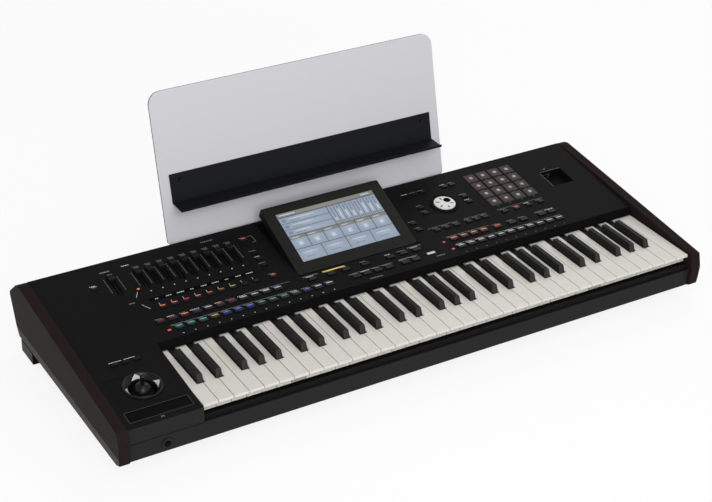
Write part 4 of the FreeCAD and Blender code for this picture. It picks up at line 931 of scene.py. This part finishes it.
# The faces inside the dimple get the dark ink: painted shade in the hollow.
for face in dial_shape.faces:
    points = [dial_inverse @ corner.co for corner in face.verts]
    near = all((point.xy - dimple_spot).length < DIMPLE_RADIUS + 0.1 for point in points)
    face.material_index = 1 if near and min(point.z for point in points) > 0.5 else 0


def dial_rim_edge(edge):
    """Whether an edge is the upper rim of the dial."""
    points = [dial_inverse @ corner.co for corner in edge.verts]
    return all(point.z > dial_high.z - 0.1 and point.xy.length > RIM_RADIUS - 0.2 for point in points)


round_over(dial_shape, 0.9, dial_rim_edge, 3)
stands_for("value_dial", dial_shape, [turned, dark_ink_and_shade])
# Five dark strips stand for the slots: painted shade in the grooves.
slots = new_sheet()
SLOT_STEP = 60
SLOT_REACH = 11.5
SLOT_LENGTH = 6.0
SLOT_WIDTH = 2.0
for count in range(1, 6):
    angle = math.radians(DIMPLE_ANGLE + SLOT_STEP * count)
    strip(
        slots, dial_place, SLOT_REACH * math.cos(angle), SLOT_REACH * math.sin(angle),
        SLOT_LENGTH, SLOT_WIDTH, math.degrees(angle), lift=dial_high.z + INK_LIFT,
    )
piece("value_dial_slot_shade", slots, "value_dial", [dark_ink_and_shade])
print("dial radius:", round(RIM_RADIUS, 2), "mm")

# %% [markdown]
# The printing on the panel says which button is which. A label is a row of short dashes behind its
# button, about as long as the button. Groups are tied together by brackets. A fader runs in a dark
# band and has a scale: a thin line with ticks.

# %% Panel printing
print_sheet = new_sheet()
DASH = 1.7
DASH_GAP = 0.8


def label(x, y, length, width, finish):
    """A label: dashes of three lengths, one after the other."""
    start = x - length / 2
    count = 0
    while start < x + length / 2 - DASH_GAP:
        dash = min(DASH * (1 + 0.5 * (count % 3)), x + length / 2 - start)
        strip(print_sheet, panel, start + dash / 2, y, dash, width, finish=finish)
        start += dash + DASH_GAP
        count += 1


# Labels of buttons stand behind them. The mixer's buttons have a tick each instead.
MIXER_ROW = 71
LABEL_GAP = 2.0
LABEL_SHIFT = -0.8
LABEL_WIDTH = 1.4
for index, (x, y, width, depth) in enumerate(button_places):
    length = width * (0.7 + 0.12 * (index % 3))
    if x > fader_columns[-1] + width or abs(y - MIXER_ROW) > ROW_REACH:
        ink = GREY_INK if index % 4 else WHITE_INK
        label(x + LABEL_SHIFT, y + depth / 2 + LABEL_GAP, length, LABEL_WIDTH, ink)

PAD_MARK_GAP = 0.9
for x, y, size in pad_places:
    strip(print_sheet, panel, x, y - size / 2 - PAD_MARK_GAP, 3.0, 0.8, finish=GREY_INK)

# Each fader's slot lies between two dark bands.
SCALE_LOW = 131
SCALE_HIGH = 163.5
SLOT_SIDE = 1.7
BAND_SIDE = 4.9
BAND_LOW = 122
BAND_HIGH = 166.5
for x in fader_columns:
    for side in (-1, 1):
        strip(
            print_sheet, panel, x + side * (SLOT_SIDE + BAND_SIDE) / 2, (BAND_LOW + BAND_HIGH) / 2,
            BAND_SIDE - SLOT_SIDE, BAND_HIGH - BAND_LOW, lift=INK_LIFT / 2, finish=DARK_INK,
        )


def scale(x):
    """A fader's scale: a line with a tick at each end and one in the middle."""
    line(print_sheet, panel, (x, SCALE_LOW), (x, SCALE_HIGH), 0.5, GREY_INK)
    for y in (SCALE_LOW, (SCALE_LOW + SCALE_HIGH) / 2, SCALE_HIGH):
        strip(print_sheet, panel, x, y, 1.6, 0.9, finish=GREY_INK)


VOLUME_SCALE_SIDE = 10.6
for side in (-1, 1):
    scale(fader_columns[0] + VOLUME_SCALE_SIDE * side)
FADER_STEP = fader_columns[2] - fader_columns[1]
for count in range(10):
    scale(fader_columns[1] + FADER_STEP * (count - 0.5))

# A fader has a label behind it and a dot in front. Further forward come its channel's label, in a
# dark band, and a tick that leads to the channel's button.
FADER_LABEL_Y = 175.7
FADER_DOT_Y = 112.7
CHANNEL_Y = 92.5
strip(print_sheet, panel, 117.5, CHANNEL_Y, 173, 8, lift=INK_LIFT / 2, finish=DARK_INK)
for count, x in enumerate(fader_columns[1:]):
    label(x + 2.2, FADER_LABEL_Y, 9, 1.3, GREY_INK)
    strip(print_sheet, panel, x, FADER_DOT_Y, 1.9, 1.9)
    label(x, CHANNEL_Y, 6 + 3 * (count % 3), 1.7, WHITE_INK)
    line(print_sheet, panel, (x - 1.9, 81.3), (x - 1.7, 74.1), 0.7)
CHANNEL_LINES = [((23.6, 118), (16.4, 106)), ((17, 88), (24.6, 74.6))]
for start, end in CHANNEL_LINES:
    line(print_sheet, panel, start, end, 0.7)
strip(print_sheet, panel, 28, 69, 4, 4, finish=DARK_INK)


def bracket(first, last, y):
    """A line over a group of buttons, with a short drop at each end."""
    line(print_sheet, panel, (first, y), (last, y), 0.6, GREY_INK)
    for x in (first, last):
        line(print_sheet, panel, (x, y), (x, y - 2), 0.6, GREY_INK)


BRACKETS = [
    (165, 240, 49.5), (35, 240, 28), (330, 407, 27.5), (520, 600, 49.5),
    (690, 725, 49.5), (524, 725, 28), (637, 725, 80), (505, 560, 80), (573, 616, 80),
]
for first, last, y in BRACKETS:
    bracket(first, last, y)
# Labels that stand alone: place, length, width and ink.
LABELS = [
    (-2, 181, 15, 3.0, GREY_INK), (33, 184, 13, 1.8, WHITE_INK), (5.2, 96.3, 9, 2.0, GREY_INK),
    (276, 49.5, 25, 1.8, GREY_INK), (460, 49.5, 25, 1.8, GREY_INK), (368, 5.5, 23, 1.8, GREY_INK),
    (436, 28, 34, 1.8, GREY_INK), (488, 13, 16, 1.8, GREY_INK), (171, 190.5, 21, 1.8, GREY_INK),
]
for x, y, length, width, ink in LABELS:
    label(x, y, length, width, ink)
strip(print_sheet, panel, 476.5, 24.1, 14, 5)
# Two rows of dots run along the front edge: first place, step, count and ink of each.
DOT_Y = 5.2
DOT_SIZE = 1.5
for first, step, dots, ink in ((45.1, 19.1, 14, WHITE_INK), (530.3, 18.8, 11, GREY_INK)):
    for count in range(dots):
        strip(print_sheet, panel, first + step * count, DOT_Y, DOT_SIZE, DOT_SIZE, finish=ink)
LINK = [(233, 176), (241, 176), (241, 160), (235, 160)]
for start, end in zip(LINK, LINK[1:]):
    line(print_sheet, panel, start, end, 0.7, GREY_INK)
piece("panel_printing", print_sheet, "case", INKS)

panel_lamps = new_sheet()
LAMP_SPOTS = [
    ("orange", 27.5, 124, 4.4, 3.4), ("red", 28.9, 19, 5.5, 4.0), ("red", 510.1, 40, 4.4, 3.2),
    ("red", 514.3, 19, 5.0, 3.6), ("gold", 316.5, 49.5, 39, 2.6),
]
for tone, x, y, length, width in LAMP_SPOTS:
    strip(panel_lamps, panel, x, y, length, width, lift=2 * INK_LIFT, finish=LAMP_NAMES.index(tone))
piece("panel_lamps", panel_lamps, "case", lenses)
print("brackets:", len(BRACKETS), "lamps on the panel:", len(LAMP_SPOTS))

# %% [markdown]
# The data socket lies at the rear of a square pocket in the panel. Its shell is bright metal and
# its tongue is blue, as on fast sockets, so the faces inside the shell get a blue plastic. Two
# thin lines and two short dashes are printed by the pocket.

# %% Data socket
tongue_blue = coating("Blue_socket_plastic", "#3f6f9c", "#33608c", 3.0, (0.4, 0.5), 0.05)
socket_shape = copied("usb_socket")
socket_low, socket_high = extent("usb_socket", panel)
SHELL = 1.2
panel_inverse = panel.inverted()
blue_faces = 0
for face in socket_shape.faces:
    spot = panel_inverse @ face.calc_center_median()
    inside = socket_low.x + SHELL < spot.x < socket_high.x - SHELL
    if inside and socket_low.z + SHELL < spot.z < socket_high.z - SHELL:
        face.material_index = 1
        blue_faces += 1
stands_for("usb_socket", socket_shape, [nickel, tongue_blue])
pocket_sheet = new_sheet()
for start, end in (((765, 141.5), (805, 141.5)), ((763, 99), (763, 139))):
    line(pocket_sheet, panel, start, end, 0.5, GREY_INK)
strip(pocket_sheet, panel, 777, 147, 5, 0.9, finish=GREY_INK)
strip(pocket_sheet, panel, 779, 149.5, 3, 0.9, finish=GREY_INK)
piece("pocket_printing", pocket_sheet, "case", INKS)
print("blue faces:", blue_faces)

# %% [markdown]
# The left cheek has a joystick in a funnel with a glossy ring, a touch strip in front of it and
# three buttons behind. The plate round the ring is matt, so the faces of its copy are sorted by
# place and size: small faces near the stick, on the ring and its funnel, get the gloss, and the rest
# gets paint.

# %% Joystick plate
stick_middle = cheek @ Matrix.Translation((0, STICK_Y, 0))
stick_inverse = stick_middle.inverted()
funnel_shape = copied("joystick_panel")
ring_rise = extent("joystick_panel", cheek)[1].z


def ring_edge(edge):
    """Whether an edge is at the top of the joystick's ring."""
    return all((stick_inverse @ corner.co).z > ring_rise - 0.1 for corner in edge.verts)


ring_edges = round_over(funnel_shape, 0.7, ring_edge, 3)
RING_REACH = 29
LARGE_FACE = (30 * MM) ** 2
for face in funnel_shape.faces:
    spot = stick_inverse @ face.calc_center_median()
    on_ring = spot.xy.length < RING_REACH and face.calc_area() < LARGE_FACE
    face.material_index = 1 if on_ring else 0
stands_for("joystick_panel", funnel_shape, [panel_paint, gloss_black])
finished("joystick_stick", gloss_black)
finished("touch_strip", smooth_black_and_dial_shade)
print("ring edges:", ring_edges)

# %% [markdown]
# White triangles on the slope of the funnel show where the stick goes, a dim grey line round the
# touch strip is a painted highlight on the rim of its recess, and a white line in two parts lies
# behind the buttons. A flat triangle would cut into the round slope, so each is a fan of narrow
# columns that follow it, tallest in the middle.

# %% Cheek printing
cheek_print = new_sheet()
strip_low, strip_high = extent("touch_strip", cheek)
EDGE = 3.6
edge_corners = [
    (strip_low.x + EDGE, strip_low.y + EDGE), (strip_high.x - EDGE, strip_low.y + EDGE),
    (strip_high.x - EDGE, strip_high.y - EDGE), (strip_low.x + EDGE, strip_high.y - EDGE),
]
# The dim grey frame is a painted highlight on the rim of the strip's recess.
for start, end in zip(edge_corners, edge_corners[1:] + edge_corners[:1]):
    line(cheek_print, cheek, start, end, 0.8, RIM_HIGHLIGHT)
CHEEK_LABEL_GAP = 2.2
LABEL_PARTS = [(0.0, 0.48), (0.56, 1.0)]
first_x, first_y, cap_width, cap_depth = cheek_places[0]
label_y = first_y + cap_depth / 2 + CHEEK_LABEL_GAP
label_left = first_x - cap_width / 2
label_run = cheek_places[-1][0] - label_left
for start, end in LABEL_PARTS:
    left_end = (label_left + start * label_run, label_y)
    right_end = (label_left + end * label_run, label_y)
    line(cheek_print, cheek, left_end, right_end, 1.0)
# A small headphone sign, two cups and a band, over the socket in the front.
for x in (-3.2, 0):
    strip(cheek_print, cheek, x, 7.2, 1.2, 2.4, finish=GREY_INK)
strip(cheek_print, cheek, -1.6, 8.6, 4.4, 0.8, finish=GREY_INK)

THROAT = (20.0, -5.0)
BRIM = (26.5, 2.5)
ARROW_FOOT = 0.2
ARROW_TIP = 0.95
ARROW_SPREAD = 22
ARROW_COLUMNS = 8


def on_funnel(angle, share):
    """A point just above the funnel, at an angle and a share of the way up its slope."""
    reach = THROAT[0] + (BRIM[0] - THROAT[0]) * share - 0.3
    rise = THROAT[1] + (BRIM[1] - THROAT[1]) * share + 0.2
    turn = math.radians(angle)
    return stick_middle @ Vector((reach * math.cos(turn), reach * math.sin(turn), rise))


for angle in (0, 90, 180):
    columns = []
    for step in range(ARROW_COLUMNS + 1):
        across = 2 * step / ARROW_COLUMNS - 1
        spread = angle + ARROW_SPREAD * across
        height = ARROW_FOOT + (ARROW_TIP - ARROW_FOOT) * max(1 - abs(across), 0.02)
        foot = cheek_print.verts.new(on_funnel(spread, ARROW_FOOT))
        tip = cheek_print.verts.new(on_funnel(spread, height))
        columns.append((foot, tip))
    for (low, high), (next_low, next_high) in zip(columns, columns[1:]):
        cheek_print.faces.new((low, high, next_high, next_low))
piece("cheek_printing", cheek_print, "case", INKS)
print("touch strip:", [round(value, 1) for value in strip_high - strip_low])

# %% [markdown]
# A dark seam runs along the front where the cheek sits on the rail. Below it is the headphone
# socket. Its nut has the rail's grey, so only a black ring round the bore is seen from afar. The
# ring is two circles with a band of faces bridged between them.

# %% Front seam and headphone socket
SEAM_WIDTH = 0.9
cheek_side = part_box("left_end_panel")[1].x
keys_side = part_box("white_keys_c")[0].x
rail_low, rail_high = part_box("lower_case")
seam_place = surface_place(Vector((0, rail_low.y, rail_high.z)), Vector((0, 0, 1)), FRONT)
seam_middle = (cheek_side + keys_side) / 2 / MM
seam_length = (keys_side - cheek_side) / MM
seam_sheet = new_sheet()
strip(seam_sheet, seam_place, seam_middle, 0, seam_length, SEAM_WIDTH, finish=DARK_INK)
piece("front_seam", seam_sheet, "case", INKS)

finished("jack_sockets", front_lit_grey_abs)
headphone = [mount for mount in frame["record"]["mounts"] if mount["name"].startswith("headphone")][0]
nut_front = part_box("jack_sockets")[0].y
bore_place = Matrix.Translation((headphone["pos_m"][0], nut_front - 0.1 * MM, headphone["pos_m"][2]))
RING_RADII = (3.3, 5.0)
bore_ring = bmesh.new()
loops = []
for radius in RING_RADII:
    circle = bmesh.ops.create_circle(
        bore_ring, segments=32, radius=radius * MM,
        matrix=bore_place @ Matrix.Rotation(math.radians(90), 4, "X"),
    )
    loops += list({edge for corner in circle["verts"] for edge in corner.link_edges})
bmesh.ops.bridge_loops(bore_ring, edges=loops)
piece("headphone_ring", bore_ring, "case", [dark_ink_and_shade])
print("seam:", round(seam_length), "mm")

# %% [markdown]
# The display is a thick tilting frame with a screen set into it. Only its front is grey, and its
# sides are black. The page on the screen is a layout of plain tiles: a title bar, three rows with
# a small sign each, columns with level bars, and two rows of keys. Each tile is a lit strip.

# %% Display
housing_shape = copied("display_housing")
round_over(housing_shape, 1.0, segments=3)
for face in housing_shape.faces:
    face.material_index = 0 if face.normal.dot(display_out) > 0.98 else 1
stands_for("display_housing", housing_shape, [bezel_grey, case_abs])
screen_glass = coating("Dark_display_glass", "#0d0e10", "#090a0b", 8.0, (0.1, 0.14), 0.0, more=SATIN)
finished("display_screen", screen_glass)
TILES = [
    lit_lens("Lit_display_slate", "#454b54", "#4d545e"),
    lit_lens("Lit_display_pale_blue", "#929eae", "#a3aebe"),
    lit_lens("Lit_display_beige", "#7e7d78", "#8e8d88"),
    lit_lens("Lit_display_white", "#b0bcca", "#c8d2dc"),
    lit_lens("Lit_display_deep_blue", "#72829a", "#8090a8"),
]
SLATE, PALE, BEIGE, BRIGHT, DEEP = range(len(TILES))
screen_low, screen_high = extent("display_screen", display)
page = new_sheet()


def tile(left, bottom, right, top, tone, level=1):
    """A rectangle of the page, given by fractions of the screen."""
    size = screen_high - screen_low
    x = screen_low.x + size.x * (left + right) / 2
    y = screen_low.y + size.y * (bottom + top) / 2
    strip(
        page, display, x, y, size.x * (right - left), size.y * (top - bottom),
        lift=screen_high.z + INK_LIFT * level, finish=tone,
    )


tile(0.005, 0.005, 0.995, 0.995, SLATE, 1)
tile(0.01, 0.91, 0.99, 0.99, BEIGE, 2)
tile(0.03, 0.94, 0.19, 0.965, BRIGHT, 3)
tile(0.86, 0.94, 0.95, 0.965, BRIGHT, 3)
for count in range(3):
    bottom = 0.53 + 0.125 * count
    tile(0.01, bottom, 0.49, bottom + 0.118, PALE, 2)
    tile(0.03, bottom + 0.03, 0.07, bottom + 0.085, DEEP, 3)
    tile(0.1, bottom + 0.065, 0.26 + 0.05 * count, bottom + 0.085, BRIGHT, 3)
    tile(0.1, bottom + 0.03, 0.2, bottom + 0.042, BEIGE, 3)
for count in range(8):
    left = 0.497 + 0.062 * count
    tile(left, 0.53, left + 0.057, 0.898, PALE, 2)
    tile(left + 0.008, 0.55, left + 0.048, 0.58, BEIGE, 3)
    tile(left + 0.02, 0.6, left + 0.036, 0.87, DEEP, 3)
    tile(left + 0.02, 0.6, left + 0.036, 0.66 + 0.05 * (count * 3 % 4), BRIGHT, 4)
for count in range(6):
    left = 0.01 + 0.1637 * count
    tile(left, 0.265, left + 0.158, 0.52, PALE, 2)
    tile(left, 0.455, left + 0.158, 0.52, BEIGE, 3)
    tile(left + 0.02, 0.478, left + 0.09, 0.494, BRIGHT, 4)
    tile(left + 0.055, 0.32, left + 0.1, 0.4, BRIGHT, 3)
for count in range(4):
    left = 0.01 + 0.2455 * count
    tile(left, 0.01, left + 0.24, 0.255, PALE, 2)
    tile(left + 0.04, 0.16, left + 0.19, 0.18, BRIGHT, 3)
    tile(left + 0.06, 0.08, left + 0.15, 0.095, DEEP, 3)
piece("display_page", page, "display", TILES)
print("screen:", [round(value, 1) for value in (screen_high - screen_low)[:2]], "mm")

# %% [markdown]
# The music stand is a rounded plate of coated sheet with a folded black ledge on it. The cut edge
# of the sheet is darker than its faces, so the copy's narrow faces get the edge finish. Two
# screws hold the ledge near its ends: each is a tapered disc with a round recess pushed in.

# %% Music stand
cut_edge = coating("Coated_cut_edge", "#6f6f73", "#5c5c60", 1.4, (0.45, 0.6), 0.15, more=SATIN)
plate_shape = copied("stand_plate")
for face in plate_shape.faces:
    face.material_index = 0 if abs(face.normal.dot(stand_out)) > 0.7 else 1
stands_for("stand_plate", plate_shape, [stand_coat, cut_edge])
softened("stand_ledge", 0.4, stand_black)
finished("stand_legs", stand_black)

ledge_high = extent("stand_ledge", stand)[1]
LEDGE_SHEET = 1.6
HEAD_RADIUS = 3.4
HEAD_RISE = 1.6
HEAD_INSET = (17, 11)
RECESS_WALL = 1.2
RECESS_DEPTH = 0.8
screw_heads = bmesh.new()
for side in (-1, 1):
    x = side * (ledge_high.x - HEAD_INSET[0])
    spot = Matrix.Translation((x, ledge_high.y - HEAD_INSET[1], LEDGE_SHEET + HEAD_RISE / 2))
    made = bmesh.ops.create_cone(
        screw_heads, cap_ends=True, segments=24, radius1=HEAD_RADIUS, radius2=0.8 * HEAD_RADIUS,
        depth=HEAD_RISE, matrix=stand @ spot,
    )
    tops = [
        face for face in {face for corner in made["verts"] for face in corner.link_faces}
        if len(face.verts) > 4 and face.normal.dot(stand_out) > 0.9
    ]
    bmesh.ops.inset_individual(screw_heads, faces=tops, thickness=RECESS_WALL * MM)
    for face in tops:
        bmesh.ops.translate(screw_heads, verts=face.verts, vec=stand_out * -RECESS_DEPTH * MM)
piece("ledge_screws", screw_heads, "music_stand", [stand_black])
print("stand plate:", [round(value) for value in plate_high - plate_low], "mm")

# %% [markdown]
# At the back, a plain dash over each socket stands for its label. The sockets are mounts of the
# record, with a place and a direction each, so the dashes find their own way there.

# %% Rear printing
rear_sheet = new_sheet()
rear_mounts = [mount for mount in frame["record"]["mounts"] if mount["name"].startswith("rear_")]
LABEL_RISE = 13
for mount in rear_mounts:
    rear_out = Vector(mount["axis"])
    rear_up = rear_out.cross(Vector((-1, 0, 0)))
    rear = surface_place(Vector(mount["pos_m"]), rear_up, rear_out)
    surface = extent("rear_panel", rear)[1].z
    strip(rear_sheet, rear, 0, LABEL_RISE, 11, 1.6, lift=surface + INK_LIFT, finish=GREY_INK)
piece("rear_printing", rear_sheet, "case", INKS)
print("labels at the back:", len(rear_mounts))
